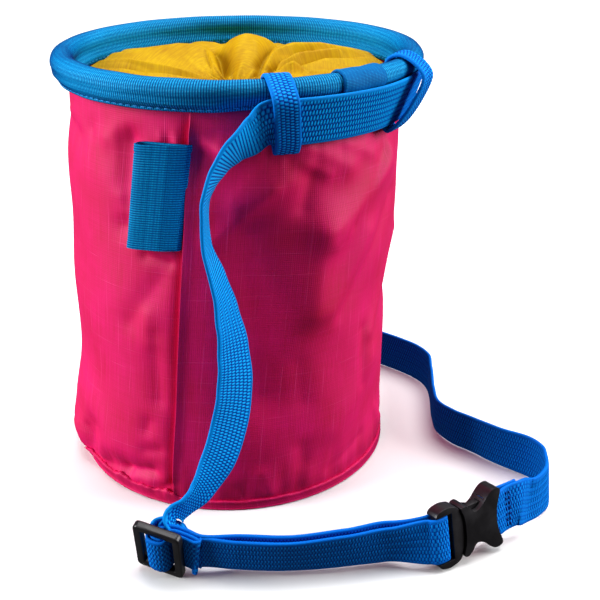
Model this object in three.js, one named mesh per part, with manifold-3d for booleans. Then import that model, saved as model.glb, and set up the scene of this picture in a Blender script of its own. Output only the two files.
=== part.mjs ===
import * as THREE from 'three';
import { mergeVertices } from 'three/addons/utils/BufferGeometryUtils.js';
import Module from 'manifold-3d';

// Climbing chalk bag with its waist belt, in millimetres.
// +Z is up, the bag stands on z = 0 over the origin, and its front faces -Y.
// Angles round the bag are degrees from +X, counted towards +Y, so the front is at -90.

// Bag
const RIM_RADIUS = 70;
const BAG_HEIGHT = 167.5;
const BASE_RADIUS = 65.8;
const RIM_LEAN = 5.15;
const WALL = 1.6;
const GAP = 0.3;

// Base disc and its bottom seam
const BASE_THICK = 1.8;
const SEAM_LIP_HEIGHT = 3.6;
const SEAM_LIP_WALL = 1.3;

// Rim binding: a padded roll with a stitched skirt on both sides of the wall
const ROLL_WIDTH = 8.4;
const ROLL_HEIGHT = 7.8;
const SKIRT_DROP = 3.4;
const SKIRT_WALL = 1.1;
const TAPE_WALL = 0.9;

// Drawn-shut collar
const COLLAR_WALL = 1.2;
const COLLAR_DROP = 2.5;
const PUCKER_RADIUS = 6.5;

// Belt webbing and the narrow webbing of its loops
const BELT_WIDTH = 18;
const BELT_THICK = 1.3;
const LOOP_WIDTH = 9;
const LOOP_THICK = 1.2;

// Brush sleeve
const SLEEVE_HEIGHT = 38;
const SLEEVE_WIDTH = 18.5;
const SLEEVE_WALL = 1.1;
const SLEEVE_BORE = 4.8;

// Strap slider
const SLIDER_LENGTH = 17;
const SLIDER_BAR = 2.5;
const SLIDER_CENTRE_BAR = 2.2;
const SLIDER_THICK = 2.8;

// Side release buckle
const BUCKLE_THICK = 7;
const BUCKLE_SHOULDER = 3.2;
const TONGUE_THICK = 2.6;
const HARDWARE_BEVEL = 0.8;

const AROUND = 54;
const DEG = Math.PI / 180;
const wasm = await Module();
wasm.setup();

const COLOURS = {
  pink: { color: 0xd8185c, roughness: 0.62, metalness: 0 },
  binding: { color: 0x0a63b0, roughness: 0.7, metalness: 0 },
  belt: { color: 0x0b78d0, roughness: 0.55, metalness: 0 },
  elastic: { color: 0x0f86b8, roughness: 0.75, metalness: 0 },
  collar: { color: 0xe0a818, roughness: 0.6, metalness: 0 },
  plastic: { color: 0x1c1a1c, roughness: 0.4, metalness: 0 },
};

const bag = new THREE.Group();

function addPiece(name, geometry, finish, parent = bag) {
  const mesh = new THREE.Mesh(geometry, new THREE.MeshStandardMaterial(COLOURS[finish]));
  mesh.name = name;
  parent.add(mesh);
  return mesh;
}

// A smooth value from a table whose rows start with the place along it
function readTable(rows, at, column) {
  let i = 0;
  while (i < rows.length - 2 && rows[i + 1][0] < at) {
    i += 1;
  }
  const before = rows[Math.max(i - 1, 0)];
  const from = rows[i];
  const to = rows[i + 1];
  const after = rows[Math.min(i + 2, rows.length - 1)];
  const span = to[0] - from[0];
  const t = Math.min(Math.max((at - from[0]) / span, 0), 1);
  const slopeFrom = ((to[column] - before[column]) / (to[0] - before[0])) * span;
  const slopeTo = ((after[column] - from[column]) / (after[0] - from[0])) * span;
  const t2 = t * t;
  const t3 = t2 * t;
  return (2 * t3 - 3 * t2 + 1) * from[column] + (t3 - 2 * t2 + t) * slopeFrom
    + (-2 * t3 + 3 * t2) * to[column] + (t3 - t2) * slopeTo;
}

function smoothStep(low, high, value) {
  return THREE.MathUtils.smoothstep(value, low, high);
}

// A closed body swept through sections that all have the same even number of points, where the
// first half faces the second half across the body
function loft(sections, closed) {
  const count = sections[0].length;
  const points = sections.flat();
  const index = [];
  const last = closed ? sections.length : sections.length - 1;
  for (let i = 0; i < last; i += 1) {
    const next = (i + 1) % sections.length;
    for (let j = 0; j < count; j += 1) {
      const a = i * count + j;
      const b = i * count + ((j + 1) % count);
      const c = next * count + ((j + 1) % count);
      const d = next * count + j;
      index.push(a, b, c, a, c, d);
    }
  }
  if (!closed) {
    const end = (sections.length - 1) * count;
    for (let j = 0; j < count / 2 - 1; j += 1) {
      const [a, b, c, d] = [j, j + 1, count - 2 - j, count - 1 - j];
      index.push(a, c, b, a, d, c, end + a, end + b, end + c, end + a, end + c, end + d);
    }
  }
  return closedBody(points, index);
}

// Merges points that share a place, drops faces that have no area and turns the faces outwards
function closedBody(points, index) {
  const merged = mergeVertices(new THREE.BufferGeometry().setFromPoints(points).setIndex(index));
  const place = (i) => new THREE.Vector3().fromBufferAttribute(merged.attributes.position, i);
  const faces = [];
  let volume = 0;
  for (let i = 0; i < merged.index.count; i += 3) {
    const [a, b, c] = [0, 1, 2].map((k) => merged.index.getX(i + k));
    if (a !== b && b !== c && c !== a) {
      faces.push(a, b, c);
      volume += place(a).dot(place(b).cross(place(c)));
    }
  }
  merged.setIndex(volume < 0 ? faces.reverse() : faces);
  merged.computeVertexNormals();
  return merged;
}

// Bag wall

// Shares of the base radius at the left, right, front and back, by share of the wall's height
const WALL_PROFILE = [
  [0.00, 0.965, 0.955, 0.965, 0.965],
  [0.05, 1.022, 0.958, 0.985, 1.000],
  [0.13, 1.012, 0.945, 0.990, 1.000],
  [0.30, 0.966, 0.945, 0.985, 0.990],
  [0.48, 0.985, 0.925, 0.990, 0.980],
  [0.62, 0.970, 0.955, 0.985, 0.975],
  [0.80, 0.975, 0.955, 0.975, 0.970],
  [0.90, 0.950, 0.945, 0.962, 0.962],
  [1.00, 0.968, 0.962, 0.968, 0.968],
];

// Ridges and dents: angle and height share at both ends, then width and rise as shares of the base radius
const FOLDS = [
  [-123, 0.90, -125, 0.71, 0.085, -0.030],
  [-98, 0.94, -91, 0.91, 0.075, 0.028],
  [-95, 0.98, -88, 0.97, 0.060, -0.028],
  [-86, 0.78, -72, 0.83, 0.090, 0.022],
  [-66, 0.90, -50, 0.84, 0.090, 0.028],
  [-27, 0.81, -58, 0.70, 0.130, 0.036],
  [-58, 0.70, -61, 0.50, 0.130, 0.036],
  [-39, 0.66, -54, 0.50, 0.100, 0.026],
  [-84, 0.70, -79, 0.30, 0.180, -0.042],
  [-150, 0.05, -147, 0.12, 0.080, -0.036],
  [-136, 0.06, -118, 0.07, 0.070, -0.030],
  [-157, 0.03, -160, 0.08, 0.080, 0.020],
  [-176, 0.31, 166, 0.30, 0.110, -0.024],
  [-4, 0.49, 20, 0.47, 0.130, -0.024],
  [-30, 0.30, -50, 0.16, 0.140, 0.020],
  [60, 0.80, 84, 0.42, 0.160, 0.026],
  [118, 0.72, 100, 0.26, 0.150, -0.026],
  [142, 0.60, 150, 0.18, 0.150, 0.024],
];

// The side seam drifts round the bag on its way down, and the cloth's columns drift with it
const SEAM_AT_TOP = -101;
const SEAM_DRIFT = -8;
const SEAM_RIDGE = 1.1;
const SEAM_VALLEY = -0.9;
const SEAM_COLUMNS = [
  [-3.2, 0],
  [-1.1, SEAM_VALLEY],
  [0.9, SEAM_RIDGE],
  [4.0, 0.3],
];

function wallDrift(share) {
  return SEAM_DRIFT * (1 - share);
}

function foldRise(angle, share) {
  let rise = 0;
  for (const [angleA, shareA, angleB, shareB, width, depth] of FOLDS) {
    const turn = (from, to) => THREE.MathUtils.euclideanModulo(to - from + 180, 360) - 180;
    const reach = BASE_RADIUS * DEG;
    const height = BAG_HEIGHT;
    const along = new THREE.Vector2(turn(angleA, angleB) * reach, (shareB - shareA) * height);
    const here = new THREE.Vector2(turn(angleA, angle) * reach, (share - shareA) * height);
    const t = THREE.MathUtils.clamp(here.dot(along) / along.lengthSq(), 0, 1);
    const away = here.sub(along.multiplyScalar(t)).length() / (width * BASE_RADIUS);
    rise += depth * BASE_RADIUS * Math.exp(-away * away);
  }
  return rise;
}

// The cloth is smooth from here up, where the binding grips it
const SKIRT_SHARE = 0.955;
const WALL_FOOT = BASE_THICK + GAP;
const WALL_TOP = BAG_HEIGHT - ROLL_HEIGHT - GAP;

function leanAt(z) {
  return RIM_LEAN * z / BAG_HEIGHT;
}

// Outer radius of the wall before the seam's own ridge
function wallRadius(angle, share) {
  const cos = Math.cos(angle * DEG);
  const sin = Math.sin(angle * DEG);
  const side = readTable(WALL_PROFILE, share, cos < 0 ? 1 : 2);
  const face = readTable(WALL_PROFILE, share, sin < 0 ? 3 : 4);
  const still = smoothStep(0, 0.035, share) * (1 - smoothStep(0.89, SKIRT_SHARE, share));
  return BASE_RADIUS * (side * cos * cos + face * sin * sin) + foldRise(angle, share) * still;
}

function aroundBag(angle, radius, z) {
  return new THREE.Vector3(
    leanAt(z) + radius * Math.cos(angle * DEG),
    radius * Math.sin(angle * DEG),
    z,
  );
}

// Angles of the cloth's columns at the rim, with their own rise at the seam
function wallColumns() {
  const columns = [];
  for (let i = 0; i < AROUND; i += 1) {
    columns.push([SEAM_AT_TOP + (i + 0.5) * 360 / AROUND, 0]);
  }
  columns.shift();
  columns.pop();
  for (const [offset, rise] of SEAM_COLUMNS) {
    columns.push([SEAM_AT_TOP + offset + (offset < 0 ? 360 : 0), rise]);
  }
  return columns.sort((a, b) => a[0] - b[0]);
}

const COLUMNS = wallColumns();
const WALL_ROWS = [0, 0.018, 0.045, 0.08, 0.13, 0.19, 0.26, 0.33, 0.40, 0.47, 0.54,
  0.61, 0.68, 0.75, 0.81, 0.86, 0.91, SKIRT_SHARE, 1];

function wallRowPoint([columnAngle, seamRise], share, offset) {
  const z = THREE.MathUtils.lerp(WALL_FOOT, WALL_TOP, share);
  const angle = columnAngle + wallDrift(share);
  const still = smoothStep(0, 0.04, share) * (1 - smoothStep(0.89, SKIRT_SHARE, share));
  return aroundBag(angle, wallRadius(angle, share) + seamRise * still + offset, z);
}

function wallSection(column, offset) {
  return WALL_ROWS.map((share) => wallRowPoint(column, share, offset));
}

// The wall at any height: straight between two rows, and carried on past its foot and top
function wallAt(column, z, offset) {
  const share = (z - WALL_FOOT) / (WALL_TOP - WALL_FOOT);
  let i = 0;
  while (i < WALL_ROWS.length - 2 && WALL_ROWS[i + 1] < share) {
    i += 1;
  }
  const t = (share - WALL_ROWS[i]) / (WALL_ROWS[i + 1] - WALL_ROWS[i]);
  return wallRowPoint(column, WALL_ROWS[i], offset)
    .lerp(wallRowPoint(column, WALL_ROWS[i + 1], offset), t);
}

addPiece('bag_side', loft(
  COLUMNS.map((column) => [...wallSection(column, 0), ...wallSection(column, -WALL).reverse()]),
  true,
), 'pink');

// Bag base: a flat disc whose seam lip stands round the foot of the wall

const SEAM_LIP_CHAMFER = 0.5;
const DISC_SHARE = 0.85;

function baseSection(column) {
  const full = GAP + SEAM_LIP_WALL;
  const inner = (z) => wallAt(column, z, 0).multiplyScalar(DISC_SHARE).setZ(z);
  return [
    inner(0),
    wallAt(column, 0, full - 2 * SEAM_LIP_CHAMFER),
    wallAt(column, 2 * SEAM_LIP_CHAMFER, full),
    wallAt(column, SEAM_LIP_HEIGHT - SEAM_LIP_CHAMFER, full),
    wallAt(column, SEAM_LIP_HEIGHT, full - SEAM_LIP_CHAMFER),
    wallAt(column, SEAM_LIP_HEIGHT, 1.5 * GAP),
    wallAt(column, BASE_THICK, 1.5 * GAP),
    inner(BASE_THICK),
  ];
}

// A round body with a middle point over and under, through the same loft as the open rings
function disc(sections) {
  const count = sections[0].length;
  const under = sections.reduce((sum, s) => sum.add(s[0]), new THREE.Vector3());
  const over = sections.reduce((sum, s) => sum.add(s[count - 1]), new THREE.Vector3());
  under.divideScalar(sections.length);
  over.divideScalar(sections.length);
  return loft(sections.map((s) => [under.clone(), ...s, over.clone()]), true);
}

addPiece('bag_base', disc(COLUMNS.map(baseSection)), 'pink');

// Rim binding

// Where the roll's middle stands over the wall's top edge
const ROLL_RADIUS = RIM_RADIUS - ROLL_WIDTH / 2;
const ROLL_MIDDLE = BAG_HEIGHT - ROLL_HEIGHT / 2;

// The roll's own section starts and ends under it, beside the wall
const ROLL_START = -64;
const ROLL_TURN = 308;

const rollTurn = (i) => (ROLL_START + i * (ROLL_TURN / (ROLL_SIDES - 1))) * DEG;
const ROLL_SIDES = 9;

// Share of the skirt's full drop, by angle: the skirt is short beside the belt's loops
const SKIRT_SHARES = [
  [-180, 1.0],
  [-120, 0.9],
  [-88, 0.75],
  [-66, 0.35],
  [-30, 0.25],
  [0, 0.6],
  [40, 1.0],
  [180, 1.0],
];

function skirtFoot(angle) {
  const turned = THREE.MathUtils.euclideanModulo(angle + 180, 360) - 180;
  return BAG_HEIGHT - ROLL_HEIGHT - SKIRT_DROP * readTable(SKIRT_SHARES, turned, 1);
}

function wallTopRadius(angle) {
  return wallRadius(angle, 1);
}

function bindingSection(column) {
  const [angle] = column;
  const foot = skirtFoot(angle);
  const slotTop = BAG_HEIGHT - ROLL_HEIGHT;
  const rollFoot = slotTop + 0.3;
  const outside = GAP + SKIRT_WALL;
  const inside = -WALL - GAP - SKIRT_WALL;
  const roll = [];
  for (let i = 0; i < ROLL_SIDES; i += 1) {
    const t = rollTurn(i);
    roll.push(aroundBag(
      angle,
      ROLL_RADIUS + ROLL_WIDTH / 2 * Math.cos(t),
      ROLL_MIDDLE + ROLL_HEIGHT / 2 * Math.sin(t),
    ));
  }
  return [
    wallAt(column, foot, GAP),
    wallAt(column, foot, outside),
    aroundBag(angle, wallTopRadius(angle) + outside, rollFoot),
    ...roll,
    aroundBag(angle, wallTopRadius(angle) + inside, rollFoot),
    wallAt(column, foot, inside),
    wallAt(column, foot, -WALL - GAP),
    aroundBag(angle, wallTopRadius(angle) - WALL - GAP, slotTop),
    aroundBag(angle, wallTopRadius(angle) + GAP, slotTop),
  ];
}

addPiece('rim_binding', loft(COLUMNS.map(bindingSection), true), 'binding');

// Smooth tape over the place where the binding's ends meet
const TAPE_FROM = -57.5;
const TAPE_TO = -41.5;
const TAPE_STEPS = 4;

function tapeSection(angle) {
  const outer = [];
  const inner = [];
  for (let i = 1; i < ROLL_SIDES - 2; i += 1) {
    const t = rollTurn(i);
    for (const [list, away] of [[inner, 1.5 * GAP], [outer, 1.5 * GAP + TAPE_WALL]]) {
      list.push(aroundBag(
        angle,
        ROLL_RADIUS + (ROLL_WIDTH / 2 + away) * Math.cos(t),
        ROLL_MIDDLE + (ROLL_HEIGHT / 2 + away) * Math.sin(t),
      ));
    }
  }
  return [...outer, ...inner.reverse()];
}

function range(from, to, steps) {
  return Array.from({ length: steps + 1 }, (_, i) => THREE.MathUtils.lerp(from, to, i / steps));
}

addPiece('rim_join_tape', loft(range(TAPE_FROM, TAPE_TO, TAPE_STEPS).map(tapeSection), false),
  'binding');

// Collar: drawn together into a swirl of folds round a small pucker

// Share of the way from the skirt to the pucker, rise as a share of the roll's height, fold share
const COLLAR_SECTION = [
  [0.00, 0.00, 0.00],
  [0.10, 0.20, 0.20],
  [0.24, 0.38, 0.65],
  [0.40, 0.42, 1.00],
  [0.58, 0.34, 1.00],
  [0.76, 0.14, 0.80],
  [0.90, -0.12, 0.45],
  [1.00, -0.45, 0.15],
];
const COLLAR_FOLDS = 9;
const COLLAR_FOLD_RISE = 3.6;
const COLLAR_SWIRL = 34;
const COLLAR_AROUND = 54;

function collarPoint(angle, row, drop) {
  const [way, rise, fold] = row;
  const edge = wallTopRadius(angle) - WALL - 2 * GAP - SKIRT_WALL - 0.6;
  const radius = THREE.MathUtils.lerp(edge, PUCKER_RADIUS, way);
  const turned = angle + COLLAR_SWIRL * way * way;
  const wave = Math.sin(COLLAR_FOLDS * turned * DEG) + 0.35 * Math.sin(5 * angle * DEG + 1.3);
  const z = BAG_HEIGHT - ROLL_HEIGHT - COLLAR_DROP + rise * ROLL_HEIGHT
    + wave * fold * COLLAR_FOLD_RISE - drop;
  return aroundBag(turned, radius, z);
}

addPiece('collar', loft(range(0, 360, COLLAR_AROUND).slice(0, -1).map((angle) => [
  ...COLLAR_SECTION.map((row) => collarPoint(angle, row, 0)),
  ...COLLAR_SECTION.map((row) => collarPoint(angle, row, COLLAR_WALL)).reverse(),
]), true), 'collar');

// Straps

// A flat strap through stations: each has its middle and the direction of its width
function strap(stations, width, thick, step) {
  const curve = new THREE.CatmullRomCurve3(stations.map((s) => s.middle), false, 'centripetal');
  const legs = stations.length - 1;
  const sections = [];
  for (let k = 0; k < legs; k += 1) {
    const reach = stations[k].middle.distanceTo(stations[k + 1].middle);
    const count = Math.max(1, Math.round(reach / step));
    for (let i = 0; i < count + (k === legs - 1 ? 1 : 0); i += 1) {
      const t = (k + i / count) / legs;
      const middle = curve.getPoint(t);
      const along = curve.getTangent(t);
      const across = stations[k].across.clone()
        .lerp(stations[k + 1].across, smoothStep(0, 1, i / count));
      across.addScaledVector(along, -across.dot(along)).normalize();
      const face = along.clone().cross(across).normalize();
      sections.push([[1, 1], [-1, 1], [-1, -1], [1, -1]].map(([w, f]) => middle.clone()
        .addScaledVector(across, w * width / 2)
        .addScaledVector(face, f * thick / 2)));
    }
  }
  return loft(sections, false);
}

const UP = new THREE.Vector3(0, 0, 1);

// A station on the bag: angle, radius, height and how far the strap's top edge leans outwards
function bagStation([angle, radius, z, lean]) {
  const middle = aroundBag(angle, radius, z);
  const out = new THREE.Vector3(Math.cos(angle * DEG), Math.sin(angle * DEG), 0);
  const across = UP.clone().multiplyScalar(Math.cos(lean * DEG))
    .addScaledVector(out, Math.sin(lean * DEG));
  return { middle, across };
}

// Belt round the rim: its top edge leans on the roll, its foot on the loop behind it
const BELT_TOP_RADIUS = RIM_RADIUS + GAP + TAPE_WALL + GAP + BELT_THICK / 2;
const WALL_TOP_RADIUS = 0.962 * BASE_RADIUS;
const BELT_FOOT_RADIUS = WALL_TOP_RADIUS + 4 * GAP + LOOP_THICK + BELT_THICK / 2;
const BELT_LEAN = Math.asin((BELT_TOP_RADIUS - BELT_FOOT_RADIUS) / BELT_WIDTH) / DEG;
const BELT_RIM_RADIUS = (BELT_TOP_RADIUS + BELT_FOOT_RADIUS) / 2;
const BELT_RIM_HEIGHT = BAG_HEIGHT - ROLL_HEIGHT * 0.69
  - Math.cos(BELT_LEAN * DEG) * BELT_WIDTH / 2;

// Past the tape the belt lies closer to the roll
const BELT_CLOSER = 0.8;

const closerBy = (angle) => BELT_CLOSER * smoothStep(TAPE_TO + 1, TAPE_TO + 11, angle);

function rimStation(angle) {
  return bagStation([angle, BELT_RIM_RADIUS - closerBy(angle), BELT_RIM_HEIGHT, BELT_LEAN]);
}

// A station on the floor: plan place of the strap's foot, foot height, and how far its top leans
function floorStation([x, y, foot, leanX, leanY]) {
  const across = new THREE.Vector3(leanX, leanY, 1).normalize();
  const middle = new THREE.Vector3(x * RIM_RADIUS, y * RIM_RADIUS, foot)
    .addScaledVector(across, BELT_WIDTH / 2);
  return { middle, across };
}

// Frames of the slider and the buckle: plan place as shares of the rim radius, foot height,
// direction of the strap and lean of the top edge
function hardwareFrame([x, y, foot, angle, leanX, leanY], height) {
  const across = new THREE.Vector3(leanX, leanY, 1).normalize();
  const along = new THREE.Vector3(Math.cos(angle * DEG), Math.sin(angle * DEG), 0);
  along.addScaledVector(across, -across.dot(along)).normalize();
  const normal = along.clone().cross(across);
  const origin = new THREE.Vector3(x * RIM_RADIUS, y * RIM_RADIUS, foot)
    .addScaledVector(across, height / 2);
  const place = (s, n) => origin.clone().addScaledVector(along, s).addScaledVector(normal, n);
  return { along, across, normal, origin, at: (s, n) => ({ middle: place(s, n), across }) };
}

const SLOT_HEIGHT = BELT_WIDTH + 2 * GAP;
const SLIDER_HEIGHT = SLOT_HEIGHT + 2 * SLIDER_BAR;
const BUCKLE_HEIGHT = SLOT_HEIGHT + 2 * BUCKLE_SHOULDER;
const SLIDER = hardwareFrame([-0.295, -1.435, 1.4, -22, 0.02, -0.36], SLIDER_HEIGHT);
const BUCKLE = hardwareFrame([1.128, -1.418, 0.1, 31, -0.12, 0.10], BUCKLE_HEIGHT);

// How far a strap's middle stays from a bar that it lies on, and from the next layer
const ON_BAR = GAP + BELT_THICK / 2;
const LAYER = BELT_THICK + GAP;
const ROUND = Math.SQRT1_2;

// The centre bar is set back from the slider's front face
const CENTRE_HALF = SLIDER_CENTRE_BAR / 2;
const CENTRE_FRONT = 0.2;

// How far the strap runs straight into a slot on each side of the centre bar
const INTO_SLOT = 0.8;

// Half a turn round the end of a bar: half width and half thickness, from behind to the front
function turnRound(frame, middle, half, deep, side) {
  return [
    [half, -deep - ON_BAR],
    [half + ON_BAR * ROUND, -deep - ON_BAR * ROUND],
    [half + ON_BAR, -deep],
    [half + ON_BAR, deep],
    [half + ON_BAR * ROUND, deep + ON_BAR * ROUND],
    [half, deep + ON_BAR],
  ].map(([s, n]) => frame.at(middle + side * s, n));
}

// Over the slider's centre bar, from the slot on one side to the slot on the other
function overCentre(extra, side) {
  const away = ON_BAR + extra;
  return [
    [CENTRE_HALF + away, CENTRE_FRONT - INTO_SLOT],
    [CENTRE_HALF + away, CENTRE_FRONT],
    [CENTRE_HALF + away * ROUND, CENTRE_FRONT + away * ROUND],
    [CENTRE_HALF, CENTRE_FRONT + away],
    [-CENTRE_HALF, CENTRE_FRONT + away],
    [-CENTRE_HALF - away * ROUND, CENTRE_FRONT + away * ROUND],
    [-CENTRE_HALF - away, CENTRE_FRONT],
    [-CENTRE_HALF - away, CENTRE_FRONT - INTO_SLOT],
  ].map(([s, n]) => SLIDER.at(side * s, n));
}

// Male buckle: the strap folds round its outer bar
const MALE_BAR_WIDTH = 3.6;
const MALE_BAR_THICK = 2.4;
const MALE_BAR_FRONT = MALE_BAR_THICK / 2 + ON_BAR;
const MALE_BAR_SIDE = MALE_BAR_WIDTH / 2 + ON_BAR;

// Where the adjuster's two layers leave the bar: how far back, and how far off it
const BACK_LEAVES = [6, 1.7];
const FRONT_LEAVES = 1.4;

// Front layer of the adjuster, from the slider to the buckle, as shares of the rim radius
const ADJUSTER_RUN = [
  [-0.10, -1.455, 3.0, 0.06, -0.37],
  [0.10, -1.470, 2.9, 0.04, -0.40],
  [0.35, -1.480, 2.9, 0.01, -0.40],
  [0.63, -1.451, 3.1, -0.03, -0.33],
  [0.85, -1.412, 3.0, -0.04, -0.24],
];

// The back layer lies behind the front one and rides a little higher
const BACK_LIFT = 0.5;

function adjusterLayer(behind, lift) {
  return ADJUSTER_RUN.map((row) => {
    const here = floorStation(row);
    here.middle.y += behind;
    here.middle.z += lift;
    return here;
  });
}

// Place along the slider and off its face, behind its bars: the sewn tail, the back layer and
// the front layer, which goes on to the fall
const TAIL_BEHIND = [[2.05, -1.4], [2.4, -2.6], [3.4, -3.6], [5.0, -4.05], [8.5, -4.05],
  [11, -3.9], [14, -3.5]];
const BACK_BEHIND = [[-2.05, -1.2], [-1.9, -2.1], [-1.1, -2.7], [0.5, -3.8], [2.2, -5.1],
  [4.5, -5.75], [8.5, -5.75], [14, -5.4]];
const FRONT_BEHIND = [[13, -2.3], [8.5, -2.4], [6.2, -2.4], [5, -2.35], [4.05, -1.9],
  [3.65, -1.2]];
const FALL_BEHIND = [[-3.7, -1.6], [-3.9, -2.6], [-3.95, -3.3]];

const behindSlider = (rows) => rows.map(([s, n]) => SLIDER.at(s, n));

addPiece('belt_adjuster', strap([
  ...behindSlider(TAIL_BEHIND).reverse(),
  ...overCentre(0, 1),
  ...behindSlider(BACK_BEHIND),
  ...adjusterLayer(2 * LAYER, BACK_LIFT).slice(1),
  BUCKLE.at(-BACK_LEAVES[0], -MALE_BAR_FRONT - BACK_LEAVES[1]),
  ...turnRound(BUCKLE, 0, MALE_BAR_WIDTH / 2, MALE_BAR_THICK / 2, 1),
  BUCKLE.at(-MALE_BAR_WIDTH / 2 - ON_BAR * ROUND, MALE_BAR_THICK / 2 + ON_BAR * ROUND),
  BUCKLE.at(-MALE_BAR_SIDE - FRONT_LEAVES, 0),
  ...adjusterLayer(0, 0).reverse(),
  ...behindSlider(FRONT_BEHIND),
  ...overCentre(LAYER, 1),
  ...behindSlider(FALL_BEHIND),
], BELT_WIDTH, BELT_THICK, 8), 'belt');

// Long run of the belt: round the rim inside the loops, behind the bag, and back along the floor

// Plan place as shares of the rim radius, foot height in millimetres, lean of the top edge
const FLOOR_RUN = [
  [1.642, -1.062, 2.4, -0.09, 0.03],
  [1.712, -0.996, 1.4, -0.10, 0.02],
  [1.780, -0.900, 0.9, -0.08, 0.10],
  [1.800, -0.790, 0.6, -0.07, 0.13],
  [1.797, -0.695, 0.5, -0.06, 0.12],
  [1.745, -0.605, 0.4, -0.06, 0.13],
  [1.585, -0.470, 0.4, -0.08, 0.02],
  [1.438, -0.320, 0.4, -0.08, -0.07],
  [1.350, -0.240, 0.4, -0.07, -0.09],
  [1.272, -0.100, 0.4, -0.06, -0.20],
  [1.262, 0.080, 0.4, -0.06, -0.26],
  [1.276, 0.330, 0.4, -0.05, -0.16],
  [1.262, 0.470, 0.4, 0.02, 0.00],
  [1.205, 0.590, 0.4, 0.00, 0.03],
  [1.105, 0.700, 0.4, -0.03, 0.03],
  [0.980, 0.805, 0.4, -0.03, 0.02],
  [0.780, 0.960, 0.4, 0, 0],
  [0.520, 1.180, 0.4, 0, 0],
  [0.220, 1.430, 0.4, 0, 0],
  [-0.140, 1.610, 0.4, 0, 0],
  [-0.520, 1.640, 0.4, 0, 0],
  [-0.800, 1.480, 1.0, 0, 0],
  [-0.880, 1.220, 5.0, 0, 0],
];

// Hidden rise behind the bag: angle, radius share of the rim's, height share of the bag's, lean
const REAR_RISE = [
  [119, 1.150, 0.240, 6],
  [104, 1.060, 0.390, 8],
  [84, 1.020, 0.555, 10],
  [62, 1.000, 0.710, 12],
  [38, 0.995, 0.825, 15],
  [14, 0.988, 0.893, 18],
];

// The sewn end goes round a bar inside the female buckle and back along itself
const FEMALE_BAR = 22.2;
const FEMALE_BAR_WIDTH = 2.2;
const FEMALE_BAR_THICK = 1.2;
const FEMALE_BAR_FRONT = FEMALE_BAR_THICK / 2 + ON_BAR;
const FEMALE_BAR_SIDE = FEMALE_BAR_WIDTH / 2 + ON_BAR;
const SEWN_TAIL = 37;

addPiece('belt_rear', strap([
  BUCKLE.at(SEWN_TAIL, 0.6 - LAYER),
  BUCKLE.at(SEWN_TAIL - 6, 0.4 - LAYER),
  BUCKLE.at(FEMALE_BAR + 3, -FEMALE_BAR_FRONT),
  ...turnRound(BUCKLE, FEMALE_BAR, FEMALE_BAR_WIDTH / 2, FEMALE_BAR_THICK / 2, -1),
  BUCKLE.at(FEMALE_BAR + 4, FEMALE_BAR_FRONT),
  BUCKLE.at(SEWN_TAIL - 6, 0.6),
  BUCKLE.at(SEWN_TAIL, 0.8),
  ...FLOOR_RUN.map(floorStation),
  ...REAR_RISE.map(([angle, radius, height, lean]) => (
    bagStation([angle, radius * RIM_RADIUS, height * BAG_HEIGHT, lean]))),
  rimStation(-9),
  rimStation(-20),
  rimStation(-27),
], BELT_WIDTH, BELT_THICK, 8), 'belt');

// Front run: from the side loop along the rim, then down in a slow twist to the slider
// Plan place as shares of the rim radius, height share of the bag's, direction of the top edge
const FRONT_FALL = [
  [0.196, -1.001, 0.900, -0.04, -0.50, 0.84],
  [0.109, -1.050, 0.875, -0.10, -0.76, 0.62],
  [0.035, -1.080, 0.840, -0.08, -0.87, 0.47],
  [-0.017, -1.100, 0.797, -0.04, -0.94, 0.33],
  [-0.038, -1.100, 0.755, -0.01, -0.98, 0.22],
  [-0.033, -1.100, 0.678, -0.04, -0.98, 0.15],
  [0.017, -1.100, 0.604, -0.18, -0.97, 0.15],
  [0.053, -1.100, 0.527, -0.35, -0.92, 0.15],
  [0.076, -1.100, 0.449, -0.52, -0.84, 0.15],
  [0.079, -1.114, 0.369, -0.64, -0.75, 0.15],
  [0.051, -1.143, 0.291, -0.70, -0.68, 0.22],
  [-0.004, -1.200, 0.218, -0.66, -0.64, 0.38],
  [-0.091, -1.271, 0.158, -0.42, -0.70, 0.57],
  [-0.165, -1.330, 0.135, -0.18, -0.70, 0.68],
  [-0.230, -1.375, 0.118, -0.10, -0.55, 0.83],
];

addPiece('belt_front', strap([
  ...[-27.6, -34, -42, -50, -58, -66, -73, -79].map(rimStation),
  ...FRONT_FALL.map(([x, y, z, ax, ay, az]) => ({
    middle: new THREE.Vector3(x * RIM_RADIUS, y * RIM_RADIUS, z * BAG_HEIGHT),
    across: new THREE.Vector3(ax, ay, az).normalize(),
  })),
  ...behindSlider([[1.5, -8.0], [-1.6, -7.2], [-3.4, -5.6], [-3.95, -4.3], [-3.95, -3.3 - GAP]]),
], BELT_WIDTH, BELT_THICK, 6), 'belt');

// Belt loops of narrow webbing: over the roll, down outside the belt and up behind it

const LOOP_HALF = LOOP_THICK / 2;
const LOOP_INNER_RADIUS = RIM_RADIUS - ROLL_WIDTH - 2 * GAP - LOOP_HALF;
const SKIRT_INNER_RADIUS = WALL_TOP_RADIUS - WALL - SKIRT_WALL - 3 * GAP - LOOP_HALF;
const BELT_FOOT_HEIGHT = BELT_RIM_HEIGHT - Math.cos(BELT_LEAN * DEG) * BELT_WIDTH / 2;
const BELT_HEAD_HEIGHT = BELT_RIM_HEIGHT + Math.cos(BELT_LEAN * DEG) * BELT_WIDTH / 2;
const OVER_BELT = BELT_THICK / 2 + GAP + LOOP_HALF;

// How far the loop stands off the belt beside its clearance, and how far it hangs below it
const LOOP_EASE = 0.5;
const LOOP_HANG = 0.95;
const LOOP_TAIL = 6;

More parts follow.
